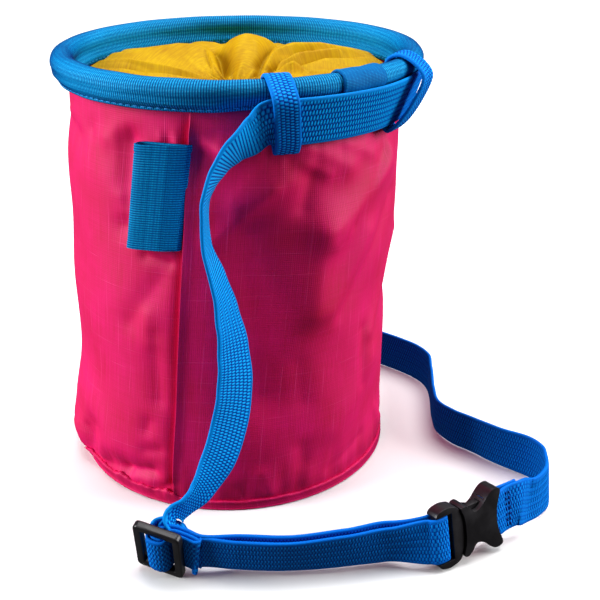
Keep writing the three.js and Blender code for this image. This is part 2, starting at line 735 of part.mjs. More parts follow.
// Middle of the loop's webbing, as radius and height, from inside the rim to behind the belt
function loopPath(slack, closer) {
  const roof = BAG_HEIGHT + GAP + LOOP_HALF;
  return [
    [SKIRT_INNER_RADIUS, BAG_HEIGHT - ROLL_HEIGHT - 1],
    [SKIRT_INNER_RADIUS, BAG_HEIGHT - ROLL_HEIGHT + 1.2],
    [LOOP_INNER_RADIUS, ROLL_MIDDLE + 0.6],
    [LOOP_INNER_RADIUS + 1.4, roof - 1.2],
    [ROLL_RADIUS, roof + 0.2],
    [RIM_RADIUS + 0.6 + slack * 0.3, roof - 2],
    [BELT_TOP_RADIUS + OVER_BELT + 0.3 + slack * 0.8 - closer, BELT_HEAD_HEIGHT],
    [BELT_RIM_RADIUS + OVER_BELT + LOOP_EASE + slack - closer, BELT_RIM_HEIGHT],
    [BELT_FOOT_RADIUS + OVER_BELT + LOOP_EASE * (1 + slack) - closer,
      BELT_FOOT_HEIGHT + LOOP_EASE],
    [BELT_FOOT_RADIUS + 0.1 - closer, BELT_FOOT_HEIGHT - 2 * GAP - LOOP_HALF - LOOP_HANG],
    [BELT_FOOT_RADIUS - OVER_BELT - GAP - closer, BELT_FOOT_HEIGHT + 2 * GAP],
    [BELT_FOOT_RADIUS - OVER_BELT - closer, BELT_FOOT_HEIGHT + LOOP_TAIL],
  ];
}

// Angle at the top, angle at the foot, and how far the loop stands off the belt
const BELT_LOOPS = {
  belt_loop_front: [-76, -73, 1.1],
  belt_loop_side: [-24.5, -30, 1.2],
};

for (const [name, [top, foot, slack]] of Object.entries(BELT_LOOPS)) {
  const path = loopPath(slack, closerBy(foot));
  const head = path[4][1];
  const stations = path.map(([radius, z], i) => {
    const down = THREE.MathUtils.clamp((head - z) / (head - BELT_FOOT_HEIGHT), 0, 1);
    const angle = i < 4 ? top : THREE.MathUtils.lerp(top, foot, down);
    const across = new THREE.Vector3(-Math.sin(angle * DEG), Math.cos(angle * DEG), 0);
    return { middle: aroundBag(angle, radius, z), across };
  });
  addPiece(name, strap(stations, LOOP_WIDTH, LOOP_THICK, 2.2), 'belt');
}

// Brush sleeve: a flat elastic tube caught in the side seam by its right edge

const SLEEVE_HEAD = 0.912;
const SLEEVE_TILT = 2.6;
const SLEEVE_SEAT = 0.55;
const SLEEVE_WALL_SHARE = 0.972;
const SLEEVE_SIDES = 14;

// The sleeve's middle line round its bore, seen from above
function sleeveRing(height, spread) {
  const ring = [];
  for (let i = 0; i < SLEEVE_SIDES; i += 1) {
    const turn = (i / SLEEVE_SIDES) * 360;
    const wide = Math.cos(turn * DEG);
    const deep = Math.sin(turn * DEG);
    ring.push([
      (SLEEVE_WIDTH / 2 + spread) * Math.sign(wide) * Math.abs(wide) ** 0.75,
      (SLEEVE_BORE / 2 + spread) * Math.sign(deep) * Math.abs(deep) ** 0.75,
    ]);
  }
  const share = SLEEVE_HEAD - (SLEEVE_HEIGHT - height) / BAG_HEIGHT;
  const seam = SEAM_AT_TOP + wallDrift(share) + 1.4;
  const z = THREE.MathUtils.lerp(WALL_FOOT, WALL_TOP, share);
  const reach = BASE_RADIUS * DEG;
  const middle = seam - SLEEVE_WIDTH / 2 / reach - SLEEVE_TILT * (1 - height / SLEEVE_HEIGHT);
  return ring.map(([wide, deep]) => {
    const angle = middle + wide / reach;
    const clear = SLEEVE_SEAT + GAP + SLEEVE_WALL + SLEEVE_BORE / 2 + deep;
    return aroundBag(angle, SLEEVE_WALL_SHARE * BASE_RADIUS + clear, z);
  });
}

function sleeveGeometry() {
  const rows = [0, 0.5, 0.93, 1];
  const lip = 0.5;
  const outer = rows.map((row) => sleeveRing(row * SLEEVE_HEIGHT,
    SLEEVE_WALL + (row === 1 || row === 0.93 ? lip * 0.6 : 0)));
  const inner = rows.map((row) => sleeveRing(row * SLEEVE_HEIGHT, 0));
  return loft(outer[0].map((_, i) => [
    ...outer.map((ring) => ring[i]),
    ...inner.map((ring) => ring[i]).reverse(),
  ]), true);
}

addPiece('brush_sleeve', sleeveGeometry(), 'elastic');

// Moulded parts: flat outlines drawn out through their thickness

function extrudeFlat(shape, thick, bevel) {
  const geometry = new THREE.ExtrudeGeometry(shape, {
    depth: thick - 2 * bevel,
    bevelEnabled: bevel > 0,
    bevelThickness: bevel,
    bevelSize: bevel,
    bevelOffset: -bevel,
    bevelSegments: 1,
    curveSegments: 3,
  });
  geometry.translate(0, 0, -thick / 2 + bevel);
  return geometry;
}

function roundedBox(length, height, radius) {
  const [x, y] = [length / 2, height / 2];
  const shape = new THREE.Shape();
  shape.moveTo(-x + radius, -y);
  shape.lineTo(x - radius, -y);
  shape.quadraticCurveTo(x, -y, x, -y + radius);
  shape.lineTo(x, y - radius);
  shape.quadraticCurveTo(x, y, x - radius, y);
  shape.lineTo(-x + radius, y);
  shape.quadraticCurveTo(-x, y, -x, y - radius);
  shape.lineTo(-x, -y + radius);
  shape.quadraticCurveTo(-x, -y, -x + radius, -y);
  return shape;
}

function toSolid(geometry) {
  const bare = geometry.clone();
  bare.deleteAttribute('normal');
  bare.deleteAttribute('uv');
  const merged = mergeVertices(bare, 1e-4);
  return new wasm.Manifold(new wasm.Mesh({
    numProp: 3,
    vertProperties: new Float32Array(merged.attributes.position.array),
    triVerts: new Uint32Array(merged.index.array),
  }));
}

function fromSolid(solid) {
  const mesh = solid.getMesh();
  const geometry = new THREE.BufferGeometry();
  geometry.setAttribute('position', new THREE.BufferAttribute(mesh.vertProperties, 3));
  geometry.setIndex(new THREE.BufferAttribute(mesh.triVerts, 1));
  geometry.computeVertexNormals();
  return geometry;
}

function boxAt(length, height, thick, x, y = 0, z = 0) {
  return toSolid(new THREE.BoxGeometry(length, height, thick).translate(x, y, z));
}

function placeHardware(name, geometry, frame) {
  const mesh = addPiece(name, geometry, 'plastic');
  const turn = new THREE.Matrix4().makeBasis(frame.along, frame.across, frame.normal);
  mesh.quaternion.setFromRotationMatrix(turn);
  mesh.position.copy(frame.origin);
  return mesh;
}

// Slider: a frame with a centre bar set back between two slots
const SLIDER_SLOT = (SLIDER_LENGTH - 2 * SLIDER_BAR - SLIDER_CENTRE_BAR) / 2;

function sliderGeometry() {
  const window = (SLIDER_CENTRE_BAR + SLIDER_SLOT) / 2;
  const whole = toSolid(extrudeFlat(
    roundedBox(SLIDER_LENGTH, SLIDER_HEIGHT, 2), SLIDER_THICK, HARDWARE_BEVEL * 0.6));
  const front = SLIDER_THICK / 2 - CENTRE_FRONT;
  return fromSolid(whole
    .subtract(boxAt(SLIDER_SLOT, SLOT_HEIGHT, 2 * SLIDER_THICK, -window))
    .subtract(boxAt(SLIDER_SLOT, SLOT_HEIGHT, 2 * SLIDER_THICK, window))
    .subtract(boxAt(SLIDER_CENTRE_BAR + 1, SLOT_HEIGHT, 2 * front, 0, 0, SLIDER_THICK / 2)));
}

placeHardware('strap_slider', sliderGeometry(), SLIDER);

// Buckle outlines as place along the strap and half height, from the male end to the female end
const FEMALE_OUTLINE = [
  [9.9, 2.4],
  [9.4, 6.2],
  [8.4, 8.9],
  [8.9, 9.9],
  [10.5, 10.0],
  [12.3, 8.6],
  [13.6, 6.9],
  [15.2, 6.4],
  [17.6, 7.6],
  [20.0, 10.0],
  [22.2, 11.6],
  [24.6, 11.9],
  [26.1, 11.0],
  [25.9, 9.2],
  [24.6, 5.2],
  [24.1, 1.8],
];
const MALE_OUTLINE = [
  [-2.2, 9.9],
  [-1.0, 11.2],
  [2.6, 11.9],
  [6.4, 11.0],
  [8.0, 9.4],
  [8.0, 8.8],
  [8.9, 6.0],
  [9.4, 2.3],
];

function mirroredOutline(half) {
  const shape = new THREE.Shape();
  half.forEach(([x, y], i) => (i ? shape.lineTo(x, -y) : shape.moveTo(x, -y)));
  [...half].reverse().forEach(([x, y]) => shape.lineTo(x, y));
  shape.closePath();
  return shape;
}

const MALE_THICK = 5.4;
const POCKET_HEIGHT = 12;
const STRAP_POCKET = 2 * (FEMALE_BAR_FRONT + BELT_THICK / 2) + GAP;
const TONGUE_FROM = 7.5;
const TONGUE_TO = 18;
const GRIP_FROM = 12.2;
const GRIP_HEIGHT = 16.4;

function femaleGeometry() {
  const whole = toSolid(extrudeFlat(
    mirroredOutline(FEMALE_OUTLINE), BUCKLE_THICK, HARDWARE_BEVEL));
  const pocket = TONGUE_THICK + 2 * GAP;
  const tongueEnd = TONGUE_TO + GAP;
  const strapFrom = FEMALE_BAR - FEMALE_BAR_SIDE - BELT_THICK / 2 - GAP;
  const cut = (from, to, height, thick) => boxAt(to - from, height, thick, (from + to) / 2);
  return fromSolid(whole
    .subtract(cut(TONGUE_FROM - 1, tongueEnd, POCKET_HEIGHT + 2 * GAP, pocket))
    .subtract(cut(GRIP_FROM - GAP, tongueEnd, BUCKLE_HEIGHT + 2, pocket))
    .subtract(cut(strapFrom, 2 * FEMALE_BAR, SLOT_HEIGHT, STRAP_POCKET))
    .add(cut(FEMALE_BAR - FEMALE_BAR_WIDTH / 2, FEMALE_BAR + FEMALE_BAR_WIDTH / 2,
      SLOT_HEIGHT + 1, FEMALE_BAR_THICK)));
}

function maleGeometry() {
  const whole = toSolid(extrudeFlat(mirroredOutline(MALE_OUTLINE), MALE_THICK, HARDWARE_BEVEL));
  const half = MALE_BAR_WIDTH / 2;
  const slotTo = MALE_BAR_SIDE + BELT_THICK / 2 + 4 * GAP;
  const spare = (MALE_THICK - MALE_BAR_THICK) / 2;
  const face = (side) => boxAt(2 * half + 1, SLOT_HEIGHT, spare + 1, 0, 0,
    side * (MALE_BAR_THICK / 2 + (spare + 1) / 2));
  return fromSolid(whole
    .subtract(boxAt(6, SLOT_HEIGHT, 2 * MALE_THICK, -half - 3))
    .subtract(boxAt(slotTo - half, SLOT_HEIGHT, 2 * MALE_THICK, (half + slotTo) / 2))
    .subtract(face(1))
    .subtract(face(-1))
    .add(boxAt(TONGUE_TO - TONGUE_FROM, POCKET_HEIGHT, TONGUE_THICK,
      (TONGUE_FROM + TONGUE_TO) / 2))
    .add(boxAt(TONGUE_TO - GRIP_FROM, GRIP_HEIGHT, TONGUE_THICK,
      (GRIP_FROM + TONGUE_TO) / 2)));
}

placeHardware('buckle_female', femaleGeometry(), BUCKLE);
placeHardware('buckle_male', maleGeometry(), BUCKLE);

export default bag;
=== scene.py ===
"""Looks of a climbing chalk bag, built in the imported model's own frame.

The bag stands on z = 0 over the origin with its front towards -Y. Sizes are millimetres inside
the classes and metres in the finished meshes. Angles round the bag are degrees from +X, counted
towards +Y.
"""

import logging
import math
from collections.abc import Callable, Sequence
from dataclasses import dataclass, field
from enum import Enum

import bmesh
import bpy
import numpy as np
from mathutils import Matrix, Vector


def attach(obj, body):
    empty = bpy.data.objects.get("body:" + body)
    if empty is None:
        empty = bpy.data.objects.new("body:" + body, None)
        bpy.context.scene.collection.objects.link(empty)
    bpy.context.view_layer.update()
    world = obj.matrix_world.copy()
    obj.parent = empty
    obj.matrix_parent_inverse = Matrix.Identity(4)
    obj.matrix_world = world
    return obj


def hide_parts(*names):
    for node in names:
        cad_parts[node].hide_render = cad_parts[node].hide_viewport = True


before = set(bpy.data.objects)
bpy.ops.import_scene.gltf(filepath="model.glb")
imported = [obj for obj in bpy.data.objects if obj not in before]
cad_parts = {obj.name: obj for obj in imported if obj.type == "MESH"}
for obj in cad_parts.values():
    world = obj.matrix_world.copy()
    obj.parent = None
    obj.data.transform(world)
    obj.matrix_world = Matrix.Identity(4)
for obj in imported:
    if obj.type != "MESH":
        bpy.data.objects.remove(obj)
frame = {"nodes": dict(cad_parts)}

LOG = logging.getLogger("chalk_bag")
MM = 0.001
DEG = math.pi / 180
UV_NAME = "cloth"

RIM_RADIUS = 70.0
BAG_HEIGHT = 167.5
BASE_RADIUS = 65.8
RIM_LEAN = 5.15
WALL = 1.6
GAP = 0.3
BASE_THICK = 1.8
ROLL_WIDTH = 8.4
ROLL_HEIGHT = 7.8
ROLL_RADIUS = RIM_RADIUS - ROLL_WIDTH / 2
ROLL_MIDDLE = BAG_HEIGHT - ROLL_HEIGHT / 2
SKIRT_DROP = 3.4
SKIRT_WALL = 1.1
TAPE_WALL = 0.9
BELT_WIDTH = 18.0
BELT_THICK = 1.3
LOOP_WIDTH = 9.0
LOOP_THICK = 1.2
WALL_FOOT = BASE_THICK + GAP
WALL_TOP = BAG_HEIGHT - ROLL_HEIGHT - GAP
WALL_RISE = WALL_TOP - WALL_FOOT
# Height share where the skirt begins, and the wall's radius at its top as a share of the base's
SKIRT_SHARE = 0.955
TOP_SHARE = 0.962
RIM_RIBS = 480
# Angles of the binding's join tape
TAPE_FROM = -57.5
TAPE_TO = -41.5
# Lengths over which the belt's plain stretch begins and ends
PLAIN_GROW = 8.0
PLAIN_FADE = 30.0
SEAM_AT_TOP = -101.0
SEAM_DRIFT = -8.0

Numbers = np.ndarray
Colour = tuple[float, float, float]


def smooth_step(low: float, high: float, value: Numbers | float) -> Numbers:
    """Rises smoothly from 0 at low to 1 at high."""
    t = np.clip((np.asarray(value, float) - low) / (high - low), 0, 1)
    return t * t * (3 - 2 * t)


def wrap(angle: Numbers | float) -> Numbers:
    """The same angle between -180 and 180 degrees."""
    return (np.asarray(angle, float) + 180) % 360 - 180


def distances(path: Numbers) -> Numbers:
    """Distance travelled at each point of a path."""
    steps = np.linalg.norm(np.diff(path, axis=0), axis=1)
    return np.concatenate([[0], np.cumsum(steps)])


def read_path(at: Numbers | float, reach: Numbers, values: Numbers) -> Numbers:
    """The x, y and z of a path's values at distances along it."""
    return np.stack([np.interp(at, reach, values[:, c]) for c in range(3)], axis=-1)


def hermite(t: Numbers, start: Numbers, rise: Numbers, end: Numbers, fall: Numbers) -> Numbers:
    """A cubic from start to end with the given slopes at its ends."""
    t2, t3 = t * t, t * t * t
    return (
        (2 * t3 - 3 * t2 + 1) * start
        + (t3 - 2 * t2 + t) * rise
        + (-2 * t3 + 3 * t2) * end
        + (t3 - t2) * fall
    )


def read_table(rows: Sequence[Sequence[float]], at: Numbers, column: int) -> Numbers:
    """A smooth value from a table whose rows start with the place along it.

    Args:
        rows: The table, in rising order of its first column.
        at: Places along the first column.
        column: The column that is read.

    Returns:
        The values at those places.
    """
    table = np.asarray(rows, float)
    place, value = table[:, 0], table[:, column]
    at = np.asarray(at, float)
    i = np.clip(np.searchsorted(place, at, side="left") - 1, 0, len(place) - 2)
    before, after = np.maximum(i - 1, 0), np.minimum(i + 2, len(place) - 1)
    span = place[i + 1] - place[i]
    t = np.clip((at - place[i]) / span, 0, 1)
    rise_from = (value[i + 1] - value[before]) / (place[i + 1] - place[before]) * span
    rise_to = (value[after] - value[i]) / (place[after] - place[i]) * span
    return hermite(t, value[i], rise_from, value[i + 1], rise_to)


def linear(red: int, green: int, blue: int) -> Colour:
    """Turns an 8-bit screen colour into the renderer's linear one."""
    return tuple(
        c / 12.92 if c <= 0.04045 else ((c + 0.055) / 1.055) ** 2.4
        for c in (red / 255, green / 255, blue / 255)
    )


def around_bag(angle: Numbers, radius: Numbers, z: Numbers) -> Numbers:
    """Places at an angle and radius round the bag's leaning middle line.

    Args:
        angle: Degrees round the bag.
        radius: Distances from the middle line.
        z: Heights.

    Returns:
        One row of x, y and z for each place.
    """
    angle, radius, z = np.broadcast_arrays(angle, radius, z)
    turn = angle * DEG
    return np.stack(
        [RIM_LEAN * z / BAG_HEIGHT + radius * np.cos(turn), radius * np.sin(turn), z], axis=-1
    )


# Shader maths


class Wire:
    """A value that runs through a material; its operators add Math nodes."""

    def __init__(self, shader: "Shader", socket: bpy.types.NodeSocket) -> None:
        """Holds the socket that the value comes out of."""
        self.shader = shader
        self.socket = socket

    def _maths(self, operation: str, *values: "Wire | float") -> "Wire":
        """Adds one Math node on these values."""
        made = self.shader.node("ShaderNodeMath", {"operation": operation}, dict(enumerate(values)))
        return Wire(self.shader, made.outputs[0])

    def __add__(self, other: "Wire | float") -> "Wire":
        """Sum."""
        return self._maths("ADD", self, other)

    __radd__ = __add__

    def __sub__(self, other: "Wire | float") -> "Wire":
        """Difference."""
        return self._maths("SUBTRACT", self, other)

    def __rsub__(self, other: float) -> "Wire":
        """Difference from a number."""
        return self._maths("SUBTRACT", other, self)

    def __mul__(self, other: "Wire | float") -> "Wire":
        """Product."""
        return self._maths("MULTIPLY", self, other)

    __rmul__ = __mul__

    def __truediv__(self, other: "Wire | float") -> "Wire":
        """Quotient."""
        return self._maths("DIVIDE", self, other)

    def __pow__(self, other: float) -> "Wire":
        """Power."""
        return self._maths("POWER", self, other)

    def __mod__(self, other: float) -> "Wire":
        """Remainder that is never negative."""
        return self._maths("FLOORED_MODULO", self, other)

    def __abs__(self) -> "Wire":
        """Size without sign."""
        return self._maths("ABSOLUTE", self)

    def floor(self) -> "Wire":
        """The whole number below."""
        return self._maths("FLOOR", self)

    def sine(self) -> "Wire":
        """Sine of an angle in radians."""
        return self._maths("SINE", self)

    def hump(self, pitch: float) -> "Wire":
        """Rounded ridges side by side, from 0 in the grooves to 1 on the tops."""
        return abs((self * (math.pi / pitch)).sine())

    def line(self, pitch: float, width: float) -> "Wire":
        """Thin lines at an even pitch, 1 on the line."""
        away = abs((self / pitch) % 1.0 - 0.5) * pitch
        return self.shader.ramp(away, width, 0.0)

    def clip(self) -> "Wire":
        """Held between 0 and 1."""
        made = self.shader.node("ShaderNodeClamp", {}, {0: self})
        return Wire(self.shader, made.outputs[0])


class Shader:
    """Builds one material's nodes."""

    def __init__(self, name: str) -> None:
        """Starts a material of that name with its Principled shader."""
        self.material = bpy.data.materials.new(name)
        self.material.use_nodes = True
        self.tree = self.material.node_tree
        self.tree.nodes.clear()
        self.surface = self.tree.nodes.new("ShaderNodeBsdfPrincipled")
        output = self.tree.nodes.new("ShaderNodeOutputMaterial")
        self.tree.links.new(self.surface.outputs[0], output.inputs["Surface"])

    def node(self, kind: str, settings: dict[str, object], inputs: dict) -> bpy.types.Node:
        """Adds a node.

        Args:
            kind: The node's type.
            settings: Values of the node itself, which are set first.
            inputs: Values or wires of its sockets, by name or number.

        Returns:
            The new node.
        """
        made = self.tree.nodes.new(kind)
        for name, value in settings.items():
            if name == "stops":
                self._stops(made.color_ramp, value)
            else:
                setattr(made, name, value)
        for key, value in inputs.items():
            self.feed(made.inputs[key], value)
        return made

    @staticmethod
    def _stops(ramp: bpy.types.ColorRamp, stops: Sequence[tuple[float, Colour]]) -> None:
        """Gives a colour ramp its stops."""
        while len(ramp.elements) < len(stops):
            ramp.elements.new(0.5)
        for element, (place, colour) in zip(ramp.elements, stops):
            element.position = place
            element.color = (*colour, 1)

    def feed(self, socket: bpy.types.NodeSocket, value: object) -> None:
        """Sets a socket's value, or links a wire to it."""
        if isinstance(value, Wire):
            self.tree.links.new(value.socket, socket)
        elif isinstance(value, tuple) and socket.type == "RGBA":
            socket.default_value = (*value, 1)
        else:
            socket.default_value = value

    def set(self, **values: object) -> None:
        """Sets sockets of the Principled shader, with underscores for spaces."""
        for name, value in values.items():
            self.feed(self.surface.inputs[name.replace("_", " ")], value)

    def cloth_place(self) -> tuple[Wire, Wire]:
        """Distances in millimetres along both ways of the piece's own cloth."""
        place = self.node("ShaderNodeUVMap", {"uv_map": UV_NAME}, {})
        parts = self.node("ShaderNodeSeparateXYZ", {}, {0: Wire(self, place.outputs[0])})
        return Wire(self, parts.outputs[0]), Wire(self, parts.outputs[1])

    def object_place(self) -> Wire:
        """Place in the object's own metres."""
        return Wire(self, self.node("ShaderNodeTexCoord", {}, {}).outputs["Object"])

    def join(self, x: Wire | float, y: Wire | float, z: Wire | float = 0.0) -> Wire:
        """Makes a vector of three values."""
        return Wire(self, self.node("ShaderNodeCombineXYZ", {}, {0: x, 1: y, 2: z}).outputs[0])

    def noise(self, at: Wire, scale: float, detail: float = 2.0, rough: float = 0.5) -> Wire:
        """Soft random values between about 0.2 and 0.8."""
        inputs = {"Vector": at, "Scale": scale, "Detail": detail, "Roughness": rough}
        return Wire(self, self.node("ShaderNodeTexNoise", {}, inputs).outputs["Fac"])

    def ramp(self, value: Wire, low: float, high: float) -> Wire:
        """Maps low..high to 0..1 and holds it there."""
        inputs = {"Value": value, "From Min": low, "From Max": high}
        made = self.node("ShaderNodeMapRange", {"clamp": True}, inputs)
        return Wire(self, made.outputs[0])

    def blend(self, share: Wire | float, low: Colour | Wire, high: Colour | Wire) -> Wire:
        """Mixes two colours by a share."""
        settings = {"data_type": "RGBA", "clamp_factor": True}
        made = self.node("ShaderNodeMix", settings, {0: share, 6: low, 7: high})
        return Wire(self, made.outputs[2])

    def bump(self, height: Wire, distance: float, strength: float = 1.0) -> None:
        """Raises the surface by a height, whose distance is in millimetres."""
        inputs = {"Height": height, "Distance": distance * MM, "Strength": strength}
        made = self.node("ShaderNodeBump", {}, inputs)
        self.feed(self.surface.inputs["Normal"], Wire(self, made.outputs[0]))


@dataclass(frozen=True)
class Ripstop:
    """Satin nylon with a fine weave and a grid of thicker threads."""

    name: str = "pink_ripstop"
    # Dark end of the cloth's random tone, and the painted shade between the weave's threads
    deep: Colour = linear(190, 0, 64)
    lit: Colour = linear(234, 10, 124)
    thread: Colour = linear(250, 96, 160)
    column: float = 6.1
    row: float = 8.3
    weave: float = 0.72

    def make(self) -> bpy.types.Material:
        """Builds the material."""
        s = Shader(self.name)
        u, v = s.cloth_place()
        grain = s.noise(s.join(u * 1.9, v * 0.05), 1.0, 3, 0.6)
        slub = s.noise(s.join(u * 0.06, v * 2.1), 1.0, 3, 0.6)
        broad = s.noise(s.join(u * 0.045, v * 0.045), 1.0, 2)
        wander = (s.noise(s.join(u * 0.03, v * 0.03), 1.0, 1) - 0.5) * 1.6
        upright = (u + wander).line(self.column, 0.24) * s.ramp(grain, 0.46, 0.62)
        level = (v + wander).line(self.row, 0.2) * s.ramp(slub, 0.5, 0.66)
        weave = u.hump(self.weave) * v.hump(self.weave)
        shade = s.ramp(grain * 0.5 + slub * 0.3 + broad * 0.5, 0.4, 0.95)
        cloth = s.blend(shade, self.deep, self.lit)
        lines = (upright * 0.55 + level * 0.5).clip()
        # Painted shade between the threads of the weave
        woven = s.blend((1 - weave) * 0.2, cloth, self.deep)
        s.set(
            Base_Color=s.blend(lines * 0.6, woven, self.thread),
            Roughness=s.ramp(grain, 0.2, 0.8) * 0.1 + 0.56,
            Specular_IOR_Level=0.42,
            Sheen_Weight=0.05,
            Sheen_Roughness=0.4,
            Sheen_Tint=linear(255, 90, 170),
        )
        s.bump(weave * 0.6 + lines * 0.8 + grain * 0.5 + slub * 0.5, 0.1, 0.7)
        return s.material


class Face(Enum):
    """Which weave a webbing shows."""

    NUBS = "nubs"
    RIBS = "ribs"


@dataclass(frozen=True)
class Webbing:
    """Woven polyester webbing with cross ribs or with columns of nubs; its colour paints shade in
    the grooves, light on the raised threads and a glint on the highest.
    """

    name: str
    # Painted shade: the colour down in the weave's grooves
    deep: Colour = linear(0, 34, 146)
    # Painted light: the colour up on the raised threads
    lit: Colour = linear(0, 158, 246)
    # Painted highlight on the highest threads
    glint: Colour = linear(50, 205, 255)
    rib: float = 1.15
    column: float = 2.05
    # Where the nubs give way to plain ribs, if they do
    plain: tuple[float, float] | None = None
    face: Face = Face.RIBS
    relief: float = 0.28
    # Strength of the painted highlight
    shine: float = 0.5
    split: float = 0.8
    # Given where the edges are woven plain
    width: float | None = None
    thick: float = 0.0
    edge_from: float = 0.8
    edge_to: float = 0.2
    edge_height: float = 0.55

    def _edge(self, s: Shader, across: Wire) -> Wire:
        """1 on the plain woven edges, where no rib shows."""
        face = self.width - self.thick
        around = across % (face + math.pi / 2 * self.thick)
        far = s.ramp(around, face - self.edge_from, face - self.edge_to)
        return (far + s.ramp(around, self.edge_from, self.edge_to)).clip()

    def _weave(self, s: Shader, along: Wire, across: Wire) -> Wire:
        """Height of the weave between 0 and 1."""
        fine = across.hump(0.5) * 0.25 + 0.75
        if self.face is Face.RIBS:
            return (along.hump(self.rib) ** 0.8) * fine * (across.hump(1.5) * 0.2 + 0.8)
        odd = ((across / self.column).floor() % 2.0) * (self.rib / 2)
        column = across.hump(self.column) ** 0.5
        nub = ((along + odd).hump(self.rib) ** 0.75) * (column * self.split + (1 - self.split))
        nub = nub * (along.hump(self.rib / 3) * 0.15 + 0.85)
        if self.plain is None:
            return nub
        start, end = self.plain
        plain = s.ramp(along, start, start + PLAIN_GROW)
        plain = plain * s.ramp(along, end + PLAIN_FADE, end)
        return nub * (1 - plain) + (along.hump(self.rib) ** 0.8) * fine * plain

    def make(self) -> bpy.types.Material:
        """Builds the material."""
        s = Shader(self.name)
        along, across = s.cloth_place()
        height = self._weave(s, along, across)
        if self.width is not None:
            edge = self._edge(s, across)
            height = height * (1 - edge) + edge * self.edge_height
        fray = s.noise(s.join(along * 1.3, across * 1.3), 1.0, 3, 0.7)
        streak = s.noise(s.join(along * 0.05, across * 1.6), 1.0, 2)
        # Painted shade in the grooves and painted light on the raised threads, broken up by random
        # fray and streaks
        share = s.ramp(height * 0.85 + fray * 0.3 + streak * 0.16, 0.34, 1.02)
        base = s.blend(share, self.deep, self.lit)
        # Painted highlight where the threads stand highest
        glint = s.ramp(height + fray * 0.4, 0.98, 1.3) * self.shine
        s.set(
            Base_Color=s.blend(glint, base, self.glint),
            Roughness=0.7 - fray * 0.2,
            Specular_IOR_Level=0.1,
            Sheen_Weight=0.04,
            Sheen_Roughness=0.4,
            Sheen_Tint=linear(0, 150, 255),
        )
        s.bump(height + fray * 0.25, self.relief, 0.9)
        return s.material


@dataclass(frozen=True)
class CollarCloth:
    """Light yellow cotton-like cloth with a plain weave."""

    name: str = "yellow_cloth"
    # Dark end of the cloth's random tone, and the painted shade between the weave's threads
    deep: Colour = linear(164, 118, 0)
    lit: Colour = linear(208, 172, 4)
    weave: float = 0.55

    def make(self) -> bpy.types.Material:
        """Builds the material."""
        s = Shader(self.name)
        u, v = s.cloth_place()
        weave = u.hump(self.weave) * v.hump(self.weave)
        grain = s.noise(s.join(u * 0.08, v * 1.2), 1.0, 3)
        broad = s.noise(s.join(u * 0.05, v * 0.05), 1.0, 2)
        shade = s.ramp(grain * 0.5 + broad * 0.5, 0.3, 0.7)
        cloth = s.blend(shade, self.deep, self.lit)
        s.set(
            # Painted shade between the threads of the weave
            Base_Color=s.blend((1 - weave) * 0.2, cloth, self.deep),
            Roughness=s.ramp(grain, 0.2, 0.8) * 0.1 + 0.56,
            Specular_IOR_Level=0.16,
            Sheen_Weight=0.03,
            Sheen_Roughness=0.4,
            Sheen_Tint=linear(255, 214, 90),
        )
        s.bump(weave * 0.6 + grain * 0.6, 0.07, 0.6)
        return s.material


@dataclass(frozen=True)
class MouldedPlastic:
    """Satin black acetal with a fine moulded grain and lighter rubbed patches spread at random."""

    name: str = "black_acetal"
    body: Colour = linear(27, 25, 28)
    rubbed: Colour = linear(66, 64, 68)

    def make(self) -> bpy.types.Material:
        """Builds the material."""
        s = Shader(self.name)
        at = s.object_place()
        grain = s.noise(at, 2600, 2, 0.6)
        smear = s.noise(at, 90, 3, 0.6)
        s.set(
            Base_Color=s.blend(s.ramp(smear, 0.45, 0.8) * 0.5, self.body, self.rubbed),
            Roughness=s.ramp(smear, 0.25, 0.75) * 0.16 + 0.26,
            Specular_IOR_Level=0.5,
        )
        s.bump(grain, 0.03, 0.5)
        return s.material


@dataclass(frozen=True)
class Thread:
    """Twisted sewing thread."""

    name: str
    colour: Colour
    shade: Colour

    def make(self) -> bpy.types.Material:
        """Builds the material."""
        s = Shader(self.name)
        twist = s.noise(s.object_place(), 2500, 1)
        s.set(
            Base_Color=s.blend(s.ramp(twist, 0.35, 0.65), self.shade, self.colour),
            Roughness=0.55 + twist * 0.1,
            Specular_IOR_Level=0.35,
        )
        s.bump(twist, 0.05, 0.5)
        return s.material


@dataclass(frozen=True)
class FloorPaper:
    """Matt white studio paper."""

    name: str = "studio_paper"
    colour: Colour = (0.86, 0.86, 0.86)

    def make(self) -> bpy.types.Material:
        """Builds the material."""
        s = Shader(self.name)
        mottle = s.noise(s.object_place(), 6, 2)
        s.set(
            Base_Color=s.blend(mottle, self.colour, (0.85, 0.85, 0.85)),
            Roughness=0.85,
            Specular_IOR_Level=0.15,
        )
        return s.material


# Meshes

Place = Callable[[Numbers, Numbers], Numbers]


